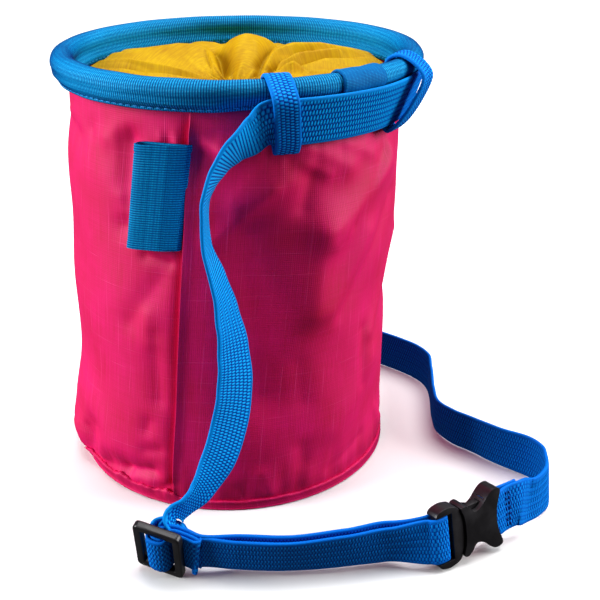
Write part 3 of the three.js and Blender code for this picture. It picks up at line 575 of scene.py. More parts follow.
def make_surface(
    name: str, across: int, along: int, place: Place, texture: Place, cap_ends: bool = False
) -> bpy.types.Object:
    """Shapes a grid into a surface by a function, and sews its edges where they meet.

    Args:
        name: The new object's name.
        across: Squares of the grid along its first way.
        along: Squares along its second way.
        place: Gives millimetre places for the two shares of the grid.
        texture: Gives millimetre distances on the cloth for the same shares.
        cap_ends: Whether open ends are filled.

    Returns:
        The object, with its faces outwards.
    """
    bm = bmesh.new()
    bmesh.ops.create_grid(bm, x_segments=across, y_segments=along, size=0.5)
    mesh = bpy.data.meshes.new(name)
    bm.to_mesh(mesh)
    bm.free()
    flat = np.empty(len(mesh.vertices) * 3)
    mesh.vertices.foreach_get("co", flat)
    share = np.clip(flat.reshape(-1, 3)[:, :2] + 0.5, 0, 1)
    corners = np.empty(len(mesh.loops), np.int32)
    mesh.loops.foreach_get("vertex_index", corners)
    layer = mesh.uv_layers.new(name=UV_NAME)
    layer.data.foreach_set("uv", texture(share[:, 0], share[:, 1])[corners].ravel())
    mesh.vertices.foreach_set("co", (place(share[:, 0], share[:, 1]) * MM).ravel())
    bm = bmesh.new()
    bm.from_mesh(mesh)
    bmesh.ops.remove_doubles(bm, verts=bm.verts, dist=2e-6)
    if cap_ends:
        rims = [e for e in bm.edges if e.is_boundary]
        bmesh.ops.holes_fill(bm, edges=rims, sides=0)
    bmesh.ops.recalc_face_normals(bm, faces=bm.faces)
    bm.to_mesh(mesh)
    bm.free()
    return show(mesh)


def add_object(data: bpy.types.ID) -> bpy.types.Object:
    """Puts a mesh, lamp or camera into the scene as an object of the same name."""
    made = bpy.data.objects.new(data.name, data)
    bpy.context.collection.objects.link(made)
    return made


def show(mesh: bpy.types.Mesh, smooth: bool = True) -> bpy.types.Object:
    """Puts a mesh into the scene, smooth or faceted."""
    mesh.shade_smooth() if smooth else mesh.shade_flat()
    return add_object(mesh)


def from_bmesh(name: str, bm: bmesh.types.BMesh, smooth: bool = True) -> bpy.types.Object:
    """Turns a bmesh into a scene object and frees it."""
    bmesh.ops.recalc_face_normals(bm, faces=bm.faces)
    mesh = bpy.data.meshes.new(name)
    bm.to_mesh(mesh)
    bm.free()
    return show(mesh, smooth)


def dress(made: bpy.types.Object, material: bpy.types.Material) -> bpy.types.Object:
    """Gives a piece its only material."""
    made.data.materials.clear()
    made.data.materials.append(material)
    return made


def fasten(
    made: bpy.types.Object, material: bpy.types.Material, slot: str, *nodes: str
) -> bpy.types.Object:
    """Dresses a piece that rides on the bag and stands for CAD nodes.

    Args:
        made: The piece.
        material: Its only material.
        slot: Not used.
        nodes: The CAD nodes that the piece replaces.

    Returns:
        The same piece.
    """
    dress(made, material)
    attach(made, "root")
    if nodes:
        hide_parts(*nodes)
    count = sum(len(p.vertices) - 2 for p in made.data.polygons)
    LOG.info("%s: %d triangles", made.name, count)
    return made


@dataclass
class StitchLine:
    """A row of sewn stitches as short rounded threads."""

    length: float = 2.3
    thick: float = 0.5
    pitch: float = 3.1
    sink: float = 0.1

    def add(self, bm: bmesh.types.BMesh, path: Numbers, out: Numbers) -> None:
        """Lays stitches along a line.

        Args:
            bm: The bmesh that takes them.
            path: Places along the line, in millimetres.
            out: The direction away from the cloth at each place.
        """
        reach = distances(path)
        count = max(1, int(reach[-1] / self.pitch))
        for k in range(count):
            ends = [(k + 0.5) * reach[-1] / count + side * self.length / 2 for side in (-1, 1)]
            a, b = (read_path(end, reach, path) for end in ends)
            away = read_path(sum(ends) / 2, reach, out)
            self.one(bm, a, b, away)

    def one(self, bm: bmesh.types.BMesh, a: Numbers, b: Numbers, away: Numbers) -> None:
        """Lays one stitch from a to b."""
        along = Vector(b - a)
        length = along.length
        along.normalize()
        up = Vector(away)
        up = (up - up.dot(along) * along).normalized()
        side = along.cross(up)
        middle = Vector((a + b) / 2) + up * (self.thick / 2 - self.sink)
        turn = Matrix((along, side, up)).transposed().to_4x4()
        size = Matrix.Diagonal((length / 2, self.thick / 2, self.thick / 2, 1))
        where = Matrix.Scale(MM, 4) @ Matrix.Translation(middle) @ turn @ size
        bmesh.ops.create_uvsphere(bm, u_segments=6, v_segments=5, radius=1, matrix=where)


# Bag wall and base


@dataclass
class BagBody:
    """The pink wall with its folds, and the base with its seam lip."""

    # Height share, then shares of the base radius at the left, right, front and back
    profile: tuple = (
        (0.00, 0.965, 0.955, 0.965, 0.965),
        (0.05, 1.050, 0.958, 0.985, 1.000),
        (0.13, 1.042, 0.945, 0.990, 1.000),
        (0.30, 0.990, 0.945, 0.985, 0.990),
        (0.48, 1.003, 0.925, 0.990, 0.980),
        (0.62, 0.990, 0.955, 0.985, 0.975),
        (0.80, 0.995, 0.955, 0.975, 0.970),
        (0.90, 0.972, 0.945, 0.962, 0.962),
        (1.00, 0.968, 0.962, 0.968, 0.968),
    )
    # Angle and height share at both ends, width and rise as shares of the base radius
    folds: tuple = (
        (-123, 0.90, -125, 0.71, 0.085, -0.030),
        (-98, 0.94, -91, 0.91, 0.075, 0.028),
        (-95, 0.98, -88, 0.97, 0.060, -0.028),
        (-86, 0.78, -72, 0.83, 0.090, 0.022),
        (-66, 0.90, -50, 0.84, 0.090, 0.028),
        (-27, 0.81, -58, 0.70, 0.130, 0.036),
        (-58, 0.70, -61, 0.50, 0.130, 0.036),
        (-39, 0.66, -54, 0.50, 0.100, 0.026),
        (-84, 0.70, -79, 0.30, 0.180, -0.042),
        (-150, 0.05, -147, 0.12, 0.080, -0.036),
        (-136, 0.06, -118, 0.07, 0.070, -0.030),
        (-157, 0.03, -160, 0.08, 0.080, 0.020),
        (-176, 0.31, 166, 0.30, 0.110, -0.024),
        (-4, 0.49, 20, 0.47, 0.130, -0.024),
        (-30, 0.30, -50, 0.16, 0.140, 0.020),
        (60, 0.80, 84, 0.42, 0.160, 0.026),
        (118, 0.72, 100, 0.26, 0.150, -0.026),
        (142, 0.60, 150, 0.18, 0.150, 0.024),
    )
    # The same for the small creases that the CAD leaves out, in millimetres of width and rise
    creases: tuple = (
        (-107, 0.945, -105.5, 0.905, 2.6, 0.9),
        (-109.5, 0.945, -108.5, 0.91, 1.8, -0.9),
        (-113, 0.96, -111, 0.925, 2.2, 0.7),
        (-118, 0.97, -121, 0.93, 3.6, -1.1),
        (-126, 0.96, -132, 0.90, 4.0, 0.8),
        (-136, 0.97, -141, 0.91, 3.0, -0.6),
        (-153, 0.955, -160, 0.93, 3.6, 0.9),
        (-167, 0.90, -150, 0.88, 3.2, -0.9),
        (-101.5, 0.95, -92, 0.898, 2.2, 1.0),
        (-97, 0.93, -88, 0.955, 4.2, -1.5),
        (-126.3, 0.77, -125.5, 0.74, 3.4, 0.9),
        (-117, 0.645, -109, 0.636, 2.4, -1.2),
        (-111.5, 0.60, -124, 0.47, 4.6, -0.8),
        (-117, 0.50, -116, 0.43, 3.4, 0.6),
        (-114.5, 0.45, -113.5, 0.28, 3.4, -0.7),
        (-117.8, 0.21, -118.5, 0.19, 2.8, -0.7),
        (-119, 0.13, -114, 0.14, 2.6, -0.7),
        (-141, 0.035, -128, 0.05, 2.2, -1.0),
        (-128, 0.05, -117, 0.07, 2.0, -0.9),
        (-112, 0.035, -109.5, 0.05, 1.8, -0.8),
        (-146, 0.03, -152, 0.10, 2.0, -0.9),
        (-27, 0.84, -55, 0.665, 3.2, 0.7),
        (-20, 0.72, -50, 0.48, 4.0, -0.9),
        (-8, 0.60, -31, 0.38, 3.4, 0.8),
        (-36, 0.40, -36, 0.25, 2.4, -0.6),
        (-31, 0.84, -47, 0.70, 2.6, -0.8),
        (-66, 0.86, -58, 0.83, 2.2, 0.6),
        (-62, 0.93, -38, 0.85, 2.6, 0.6),
        (-48, 0.93, -36, 0.90, 2.4, -0.6),
        (-64, 0.83, -66, 0.76, 3.2, -0.8),
        (-76, 0.81, -95, 0.69, 3.4, 0.7),
        (-66, 0.37, -64, 0.27, 4.4, -0.6),
        (-64, 0.14, -63, 0.10, 3.6, -0.7),
        (-78, 0.09, -76, 0.03, 2.6, 0.7),
        (-86, 0.05, -84, 0.01, 2.2, -0.6),
        (-52, 0.05, -34, 0.09, 2.6, -0.5),
        (-20, 0.12, -12, 0.05, 2.6, 0.6),
        (10, 0.08, 18, 0.02, 2.8, -0.8),
        (30, 0.95, 36, 0.86, 3.2, -0.8),
        (52, 0.94, 48, 0.85, 3.4, 0.8),
        (76, 0.95, 80, 0.88, 3.0, -0.8),
        (96, 0.95, 102, 0.84, 3.6, 0.8),
        (124, 0.94, 120, 0.86, 3.0, -0.8),
        (150, 0.95, 156, 0.87, 3.4, 0.8),
        (170, 0.10, 150, 0.03, 3.0, -0.9),
        (120, 0.07, 100, 0.05, 3.2, -0.8),
        (70, 0.06, 52, 0.09, 3.0, -0.7),
        (20, 0.66, 40, 0.50, 4.2, 0.8),
        (176, 0.74, 158, 0.60, 4.2, -0.8),
    )
    columns: int = 330
    rows: int = 150
    lip_height: float = 3.6
    lip_wall: float = 1.3
    inner_rows: int = 34
    _angles: Numbers = field(init=False)

    def __post_init__(self) -> None:
        """Spaces the cloth's columns: closer at the front, and closest at the side seam."""
        turn = np.linspace(-180, 180, 7201)
        seam = 9 * np.exp(-((turn / 3.4) ** 2))
        weight = 1 + 0.9 * (0.5 + 0.5 * np.cos((turn - 11) * DEG)) + seam
        grown = np.concatenate([[0], np.cumsum((weight[1:] + weight[:-1]) / 2)])
        shares = np.linspace(0, grown[-1], self.columns + 1)
        self._angles = np.interp(shares, grown, turn)

    def column_turn(self, share: Numbers) -> Numbers:
        """Degrees from the seam of the column at a share of the way round."""
        return np.interp(share, np.linspace(0, 1, self.columns + 1), self._angles)

    @staticmethod
    def drift(share: Numbers) -> Numbers:
        """How far the columns have turned round the bag at a height share."""
        return SEAM_DRIFT * (1 - share)

    def fold_rise(self, angle: Numbers, share: Numbers) -> Numbers:
        """Rise of the folds and creases, in millimetres."""
        reach = BASE_RADIUS * DEG
        rows = [(*f[:4], f[4] * BASE_RADIUS, f[5] * BASE_RADIUS * 1.15) for f in self.folds]
        sharp = [(*f[:4], f[4] * 1.15, f[5] * 1.35) for f in self.creases]
        rise = np.zeros_like(angle)
        for angle_a, share_a, angle_b, share_b, width, depth in (*rows, *sharp):
            ax, ay = wrap(angle_b - angle_a) * reach, (share_b - share_a) * BAG_HEIGHT
            hx = wrap(angle - angle_a) * reach
            hy = (share - share_a) * BAG_HEIGHT
            t = np.clip((hx * ax + hy * ay) / (ax * ax + ay * ay), 0, 1)
            away = np.hypot(hx - ax * t, hy - ay * t) / width
            rise += depth * np.exp(-(away**1.7))
        return rise

    def ripple(self, angle: Numbers, share: Numbers) -> Numbers:
        """Small unevenness of the hanging cloth, in millimetres."""
        gather = smooth_step(0.80, 0.96, share) * 0.22
        pull = (1 - smooth_step(0.02, 0.16, share)) * 0.25
        near_top = np.sin(angle * 0.62 + 1.3 * np.sin(angle * 0.11))
        near_top += 0.6 * np.sin(angle * 1.37 + 2)
        near_foot = np.sin(angle * 0.41 + 0.7)
        near_foot += 0.7 * np.sin(angle * 0.93 + 1.9 * np.sin(angle * 0.07))
        broad = np.sin(angle * 0.13 + share * 9) * np.sin(share * 17 + angle * 0.05)
        return gather * near_top + pull * near_foot + 0.28 * broad

    def radius(self, angle: Numbers, share: Numbers) -> Numbers:
        """Outer radius of the wall before the seam's own ridge."""
        cos, sin = np.cos(angle * DEG), np.sin(angle * DEG)
        side = np.where(
            cos < 0, read_table(self.profile, share, 1), read_table(self.profile, share, 2)
        )
        face = np.where(
            sin < 0, read_table(self.profile, share, 3), read_table(self.profile, share, 4)
        )
        still = smooth_step(0, 0.035, share) * (1 - smooth_step(0.89, SKIRT_SHARE, share))
        round_shape = BASE_RADIUS * (side * cos * cos + face * sin * sin)
        return round_shape + (self.fold_rise(angle, share) + self.ripple(angle, share)) * still

    @staticmethod
    def seam_rise(off: Numbers, share: Numbers) -> Numbers:
        """Rise at the side seam: a valley, then the sharp edge of the turned seam allowance."""
        mm = off * DEG * BASE_RADIUS
        turned = smooth_step(-0.4, 0.2, mm)
        valley = -1.25 * np.exp(-((np.minimum(mm + 0.35, 0) / 2.6) ** 2)) * (1 - turned)
        edge = 1.7 * turned * np.exp(-(np.maximum(mm, 0) / 1.9) ** 1.3)
        still = smooth_step(0, 0.04, share) * (1 - smooth_step(0.93, 0.985, share))
        return (valley + edge) * still

    def at(self, off: Numbers, share: Numbers, offset: Numbers | float = 0.0) -> Numbers:
        """Places on the wall by degrees from the seam and height share."""
        held = np.clip(share, 0, 1)
        z = WALL_FOOT + WALL_RISE * share
        angle = SEAM_AT_TOP + off + self.drift(share)
        radius = self.radius(angle, held) + self.seam_rise(off, held) + offset
        return around_bag(angle, radius, z)

    def _wall_rows(self) -> tuple[Numbers, Numbers]:
        """Height share and inward offset of every row, round the wall's whole section."""
        outer = np.linspace(0, 1, self.rows)
        inner = np.linspace(1, 0, self.inner_rows)
        edge = np.array([0.25, 0.5, 0.75])
        bulge = 0.12 * np.sqrt(1 - (2 * edge - 1) ** 2) / WALL_RISE
        share = np.concatenate([outer, 1 + bulge, inner, 0 - bulge, [0]])
        offset = np.concatenate(
            [0 * outer, -WALL * edge, 0 * inner - WALL, -WALL * edge[::-1], [0]]
        )
        return share, offset

    def wall(self) -> bpy.types.Object:
        """Builds the wall as one closed shell."""
        shares, offsets = self._wall_rows()
        steps = np.linspace(0, 1, len(shares))

        def place(u: Numbers, v: Numbers) -> Numbers:
            """Millimetre places for shares of the grid."""
            share, offset = np.interp(v, steps, shares), np.interp(v, steps, offsets)
            return self.at(self.column_turn(u), share, offset)

        def texture(u: Numbers, v: Numbers) -> Numbers:
            """Millimetre distances on the cloth for shares of the grid."""
            turn = self.column_turn(u) * DEG * BASE_RADIUS
            height = np.interp(v, steps, shares) * WALL_RISE
            return np.stack([turn, height], axis=-1)

        return make_surface("bag_side_cloth", self.columns, len(shares) - 1, place, texture)

    def base(self) -> bpy.types.Object:
        """Builds the base disc with the seam lip that stands round the wall's foot."""
        full = GAP + self.lip_wall
        lip = self.lip_height
        # Share of the way out, height, offset from the wall
        section = (
            (0.0, 0.0, 0.0),
            (0.5, 0.0, 0.0),
            (0.86, 0.0, -1.0),
            (0.96, 0.0, full - 1.6),
            (1.0, 0.12, full - 0.7),
            (1.0, 0.6, full - 0.15),
            (1.0, 1.3, full + 0.05),
            (1.0, 2.2, full),
            (1.0, lip - 0.7, full + 0.08),
            (1.0, lip - 0.22, full - 0.1),
            (1.0, lip, full - 0.5),
            (1.0, lip - 0.05, 1.8 * GAP),
            (1.0, BASE_THICK + 0.2, 1.5 * GAP),
            (0.97, BASE_THICK, 0.0),
            (0.5, BASE_THICK, 0.0),
            (0.0, BASE_THICK, 0.0),
        )
        last = len(section) - 1

        def read(v: Numbers) -> list[Numbers]:
            """Way out, height and offset at shares of the section."""
            return [np.interp(v * last, np.arange(last + 1), column) for column in zip(*section)]

        def place(u: Numbers, v: Numbers) -> Numbers:
            """Millimetre places for shares of the grid."""
            way, z, offset = read(v)
            angle = SEAM_AT_TOP + self.column_turn(u) + self.drift(0.0)
            turned = wrap(angle)
            crumpled = smooth_step(-175, -160, turned) * (1 - smooth_step(-116, -100, turned))
            rough = 0.25 + 0.75 * crumpled
            pucker = 0.5 * np.sin(turned * 0.61) + 0.4 * np.sin(turned * 0.33 + 1)
            pucker += 0.25 * np.sin(turned * 1.9)
            lifted = smooth_step(0.6, 3.0, z) * (way > 0.99) * rough
            slim = 0.55 * smooth_step(0.3, 1.2, z) * (way > 0.99)
            z = z + (pucker * 1.3 + 2.6) * lifted
            share = np.clip((z - WALL_FOOT) / WALL_RISE, 0, 1) * (way > 0.99)
            wall = np.maximum(self.radius(angle, share), self.radius(angle, 0 * angle))
            rim = around_bag(angle, wall + offset - slim + 0.5 * pucker * lifted, z)
            middle = around_bag(0 * angle, 0 * angle, z)
            return middle + (rim - middle) * way[:, None]

        def texture(u: Numbers, v: Numbers) -> Numbers:
            """Millimetre distances on the cloth for shares of the grid."""
            way, z, _ = read(v)
            turn = (SEAM_AT_TOP + self.column_turn(u)) * DEG
            outwards = np.stack([np.cos(turn), np.sin(turn)], axis=-1)
            return outwards * (way * BASE_RADIUS + z)[:, None]

        return make_surface("bag_base_cloth", self.columns, 6 * last, place, texture)

    def build(self, cloth: bpy.types.Material) -> None:
        """Builds, dresses and fastens the pieces."""
        fasten(self.wall(), cloth, "bag_cloth", "bag_side")
        fasten(self.base(), cloth, "bag_cloth", "bag_base")


# Rim


@dataclass
class RimBinding:
    """The ribbed webbing bound over the rim's roll, its stitch lines and the tape on its join."""

    body: BagBody
    ribs: int = RIM_RIBS
    columns_each: int = 4
    rib_height: float = 0.13
    groove_at: float = 10.5
    groove_width: float = 0.45
    groove_depth: float = 0.3
    # Share of the skirt's drop, by angle
    skirt_shares: tuple = (
        (-180, 1.0),
        (-120, 0.9),
        (-88, 0.75),
        (-66, 0.35),
        (-30, 0.25),
        (0, 0.6),
        (40, 1.0),
        (180, 1.0),
    )

    def skirt_foot(self, angle: Numbers) -> Numbers:
        """Height of the skirt's lower edge."""
        share = read_table(self.skirt_shares, wrap(angle), 1)
        return BAG_HEIGHT - ROLL_HEIGHT - SKIRT_DROP * share

    @staticmethod
    def band(angle: Numbers) -> Numbers:
        """1 where the binding's outer face stands flatter, on the left and behind."""
        turned = wrap(angle)
        return 1 - smooth_step(-94, -85, turned) * (1 - smooth_step(0, 14, turned))

    def _section(self, angle: Numbers) -> tuple[Numbers, Numbers, Numbers]:
        """Radius, height and cloth distance of the section's points at each angle.

        Args:
            angle: Degrees round the bag, one for each column.

        Returns:
            Three arrays of one row for each angle and one column for each point.
        """
        foot = self.skirt_foot(angle)[:, None]
        top = self.body.radius(angle, 1 + 0 * angle)[:, None]
        slot = BAG_HEIGHT - ROLL_HEIGHT
        out, inn = GAP + SKIRT_WALL, -WALL - GAP - SKIRT_WALL
        band = self.band(angle[:, None])
        turn = np.linspace(-22, 205, 21)[None, :] * DEG
        roll_r = ROLL_RADIUS + ROLL_WIDTH / 2 * np.cos(turn) + 0 * top
        roll_z = ROLL_MIDDLE + ROLL_HEIGHT / 2 * np.sin(turn) + 0 * top
        slope_out = [
            (roll_r[:, :1] - back * (1 - 0.85 * band), slot + lift + 0 * foot)
            for back, lift in ((2.6, 0.1), (1.2, 1.1))
        ]
        slope_in = [
            (roll_r[:, -1:] + back, slot + lift + 0 * foot)
            for back, lift in ((0.1, 1.1), (0.0, 0.1))
        ]
        outer = [
            (top + GAP, slot - 0.1 + 0 * foot),
            (top + GAP, foot + 0.3),
            (top + GAP + 0.2, foot),
            (top + out - 0.3 + 1.6 * band, foot - 0.02),
            (top + out + 2.0 * band, foot + 0.25),
            (top + out + 0.02 + 2.3 * band, foot + 0.7),
            (top + out - 0.12 + 2.3 * band, foot + 1.1),
            (top + out + 0.05 + 2.6 * band, foot + 1.5),
            (top + out + 0.3 + 2.9 * band, (foot + slot) / 2 + 0.5),
            *slope_out,
        ]
        inner = [
            *slope_in,
            (top + inn - 0.12, (foot + slot) / 2 + 0.5),
            (top + inn - 0.05, foot + 1.5),
            (top + inn + 0.12, foot + 1.1),
            (top + inn - 0.02, foot + 0.7),
            (top + inn, foot + 0.25),
            (top + inn + 0.3, foot - 0.02),
            (top - WALL - GAP - 0.2, foot),
            (top - WALL - GAP, foot + 0.3),
            (top - WALL - GAP, slot - 0.1 + 0 * foot),
            (top + GAP, slot - 0.1 + 0 * foot),
        ]
        radius = np.hstack([*(r for r, _ in outer), roll_r, *(r for r, _ in inner)])
        height = np.hstack([*(z for _, z in outer), roll_z, *(z for _, z in inner)])
        step = np.hypot(np.diff(radius, axis=1), np.diff(height, axis=1))
        length = np.concatenate([np.zeros((len(angle), 1)), np.cumsum(step, axis=1)], axis=1)
        return radius, height, length

    def roll(self) -> bpy.types.Object:
        """Builds the binding with every cross rib as a real ridge."""
        columns = self.ribs * self.columns_each
        probe = self._section(np.array([0.0]))[0].shape[1]

        def read(u: Numbers, v: Numbers, which: int) -> Numbers:
            """One of the section's arrays at shares round the rim and the section."""
            grid = np.linspace(-180, 180, 361)
            table = self._section(grid)[which]
            a = np.clip(u * 360, 0, 359.999)
            i = a.astype(int)
            f = a - i
            j = np.rint(v * (probe - 1)).astype(int)
            return table[i, j] * (1 - f) + table[i + 1, j] * f

        def place(u: Numbers, v: Numbers) -> Numbers:
            """Millimetre places for shares of the grid."""
            angle = -180 + u * 360
            radius, height = read(u, v, 0), read(u, v, 1)
            at, turn = v * (probe - 1), u * 2 * math.pi
            outside = smooth_step(2.2, 4.5, at) * (1 - smooth_step(probe - 6.5, probe - 4.2, at))
            lift = self.rib_height * outside * np.cos(turn * self.ribs)
            groove = np.exp(-(((at - self.groove_at) / self.groove_width) ** 2))
            lift = lift - self.groove_depth * groove
            lift += 0.10 * outside * np.sin(turn * 17 + 1) * np.sin(v * 21)
            dr, dz = radius - ROLL_RADIUS, height - ROLL_MIDDLE
            reach = np.hypot(dr, dz)
            return around_bag(angle, radius + dr / reach * lift, height + dz / reach * lift)

        def texture(u: Numbers, v: Numbers) -> Numbers:
            """Millimetre distances on the cloth for shares of the grid."""
            return np.stack([u * 2 * math.pi * RIM_RADIUS, read(u, v, 2)], axis=-1)

        return make_surface("rim_binding_webbing", columns, probe - 1, place, texture)

    def tape(self) -> bpy.types.Object:
        """Builds the smooth tape over the binding's join."""
        closed = 34

        def place(u: Numbers, v: Numbers) -> Numbers:
            """Millimetre places for shares of the grid."""
            half = closed // 2
            at = v * closed
            up = np.clip(at / half, 0, 1)
            back = np.clip((at - half) / half, 0, 1)
            turn = (-30 + 224 * (up - back)) * DEG
            outside = (at <= half - 0.01) | (at < 0.01)
            edge = np.minimum(u, 1 - u) * (TAPE_TO - TAPE_FROM) * DEG * RIM_RADIUS
            ends = np.minimum(up - back, 1 - (up - back)) * 224 * DEG * ROLL_WIDTH / 2
            roll_off = 1 - 0.55 * np.exp(-edge / 0.5) - 0.3 * np.exp(-ends / 0.5)
            ridge = 0.35 * np.exp(-(((u - 0.03) / 0.03) ** 2))
            away = 0.25 + np.where(outside, (TAPE_WALL - 0.1) * roll_off + ridge, 0.0)
            wave = 0.12 * np.sin(u * 9 + turn * 3) * outside
            angle = TAPE_FROM + (TAPE_TO - TAPE_FROM) * u
            slant = 0.5 * np.sin(turn)
            return around_bag(
                angle + slant,
                ROLL_RADIUS + (ROLL_WIDTH / 2 + away + wave) * np.cos(turn),
                ROLL_MIDDLE + (ROLL_HEIGHT / 2 + away + wave) * np.sin(turn),
            )

        def texture(u: Numbers, v: Numbers) -> Numbers:
            """Millimetre distances on the cloth for shares of the grid."""
            return np.stack([v * 34, u * 20], axis=-1)

        return make_surface("rim_join_tape_cloth", 48, closed, place, texture, cap_ends=True)

    def stitches(self) -> bpy.types.Object:
        """Builds the row of stitches low on the outer skirt, and the one on the inner skirt."""
        bm = bmesh.new()
        angle = np.linspace(-180, 180, 721)
        wall = self.body.radius(angle, 1 + 0 * angle)
        flat = np.stack([np.cos(angle * DEG), np.sin(angle * DEG), 0 * angle], axis=-1)
        foot = self.skirt_foot(angle)
        line = StitchLine(length=2.2, thick=0.42, pitch=2.9, sink=0.06)
        rows = ((GAP + SKIRT_WALL + 2.3 * self.band(angle), 1), (-WALL - GAP - SKIRT_WALL, -1))
        for out, side in rows:
            line.add(bm, around_bag(angle, wall + out, foot + 1.1), flat * side)
        return from_bmesh("rim_stitches", bm)

    def build(
        self, webbing: bpy.types.Material, tape: bpy.types.Material, thread: bpy.types.Material
    ) -> None:
        """Builds, dresses and fastens the pieces."""
        roll = fasten(self.roll(), webbing, "rim_binding", "rim_binding")
        fasten(self.tape(), tape, "rim_tape", "rim_join_tape")
        fasten(self.stitches(), thread, "rim_binding")


# Collar


@dataclass
class Collar:
    """The yellow collar, drawn together into a swirl of folds."""

    body: BagBody
    thick: float = 0.7
    hole: float = 4.6
    columns: int = 420
    rows: int = 84
    centre: float = 4.9
    shift: float = 5.0
    twist: float = 34
    pleats: int = 19
    crest_gain: float = 1.12
    dip_gain: float = 1.4
    # Lengths of the cloth round the rim and towards the pucker, for its weave
    cloth: tuple[float, float] = (390, 62)
    # Ridge lines over the plan: points of x, y and rise, then the slopes' widths left and right
    ridges: tuple = ()

    def level(self, way: Numbers) -> Numbers:
        """Height of the cloth before its folds, by share of the way to the pucker."""
        table = (
            (0.00, 156.4),
            (0.05, 157.0),
            (0.14, 157.4),
            (0.32, 157.4),
            (0.55, 156.8),
            (0.74, 155.8),
            (0.88, 154.2),
            (0.96, 152.6),
            (1.00, 151.0),
        )
        return read_table(table, way, 1)

    @staticmethod
    def ridge_rise(
        x: Numbers, y: Numbers, points: Sequence[Sequence[float]], left: float, right: float
    ) -> Numbers:
        """Rise of one ridge line with its own slope on each side.

        Args:
            x: Places across.
            y: Places along.
            points: The ridge line, as x, y and rise.
            left: Width of the slope on the line's left.
            right: Width of the slope on the line's right.

        Returns:
            The rise at those places, in millimetres.
        """
        best = np.zeros_like(x)
        for (ax, ay, ah), (bx, by, bh) in zip(points, points[1:]):
            dx, dy = bx - ax, by - ay
            t = np.clip(((x - ax) * dx + (y - ay) * dy) / (dx * dx + dy * dy), 0, 1)
            px, py = x - ax - dx * t, y - ay - dy * t
            side = dx * py - dy * px
            width = np.where(side > 0, left, right)
            away = np.hypot(px, py) / width
            rise = (ah + (bh - ah) * t) * np.exp(-(away**1.35))
            best = np.where(np.abs(rise) > np.abs(best), rise, best)
        return best

    def build(self, cloth: bpy.types.Material) -> None:
        """Builds, dresses and fastens the collar."""
        under = 22
        rows = self.rows + under + 2
        ways = np.concatenate([np.linspace(0, 1, self.rows + 1), np.linspace(1, 0, under + 1), [0]])
        drops = np.concatenate([np.zeros(self.rows + 1), np.ones(under + 1), [0]])
        steps = np.linspace(0, 1, rows + 1)

        def place(u: Numbers, v: Numbers) -> Numbers:
            """Millimetre places for shares of the grid."""
            way, drop = np.interp(v, steps, ways), np.interp(v, steps, drops)
            angle = u * 360
            edge = self.body.radius(angle, 1 + 0 * angle) - WALL - 2 * GAP - SKIRT_WALL - 0.4
            radius = edge + (self.hole - edge) * way
            turned = angle + self.twist * way * way
            towards = way * way * (3 - 2 * way) * self.shift
            x = radius * np.cos(turned * DEG) + self.centre
            y = radius * np.sin(turned * DEG) - towards
            z = self.level(way)
            fade = smooth_step(0.0, 0.10, way) * (1 - smooth_step(0.82, 1.0, way))
            crest, dip = np.zeros_like(z), np.zeros_like(z)
            for points, left, right in self.ridges:
                rise = self.ridge_rise(x, y, points, left, right)
                crest, dip = np.maximum(crest, rise), dip + np.minimum(rise, 0)
            z = z + (crest * self.crest_gain + dip * self.dip_gain) * fade
            pleat = smooth_step(0.72, 0.97, way)
            turn = angle * DEG
            fine = np.sin(turn * self.pleats + 2.5 * np.sin(turn * 3)) * 0.7 * pleat
            outer = (1 - smooth_step(0.02, 0.3, way)) * smooth_step(0.0, 0.06, way)
            fine = fine + 0.35 * outer * np.sin(turn * 34 + 2 * np.sin(turn * 5))
            z = z + fine - drop * self.thick
            radius = radius + 0.5 * pleat * np.cos(turn * self.pleats)
            x = radius * np.cos(turned * DEG) + self.centre
            y = radius * np.sin(turned * DEG) - towards
            return np.stack([x, y, z], axis=-1)

        def texture(u: Numbers, v: Numbers) -> Numbers:
            """Millimetre distances on the cloth for shares of the grid."""
            way = np.interp(v, steps, ways)
            return np.stack([u * self.cloth[0], way * self.cloth[1]], axis=-1)

        collar = make_surface("collar_cloth", self.columns, rows, place, texture)
        made = fasten(collar, cloth, "collar_cloth", "collar")


# Straps


@dataclass
class Station:
    """A place that a strap passes, with the direction of its width."""

    middle: Numbers
    across: Numbers


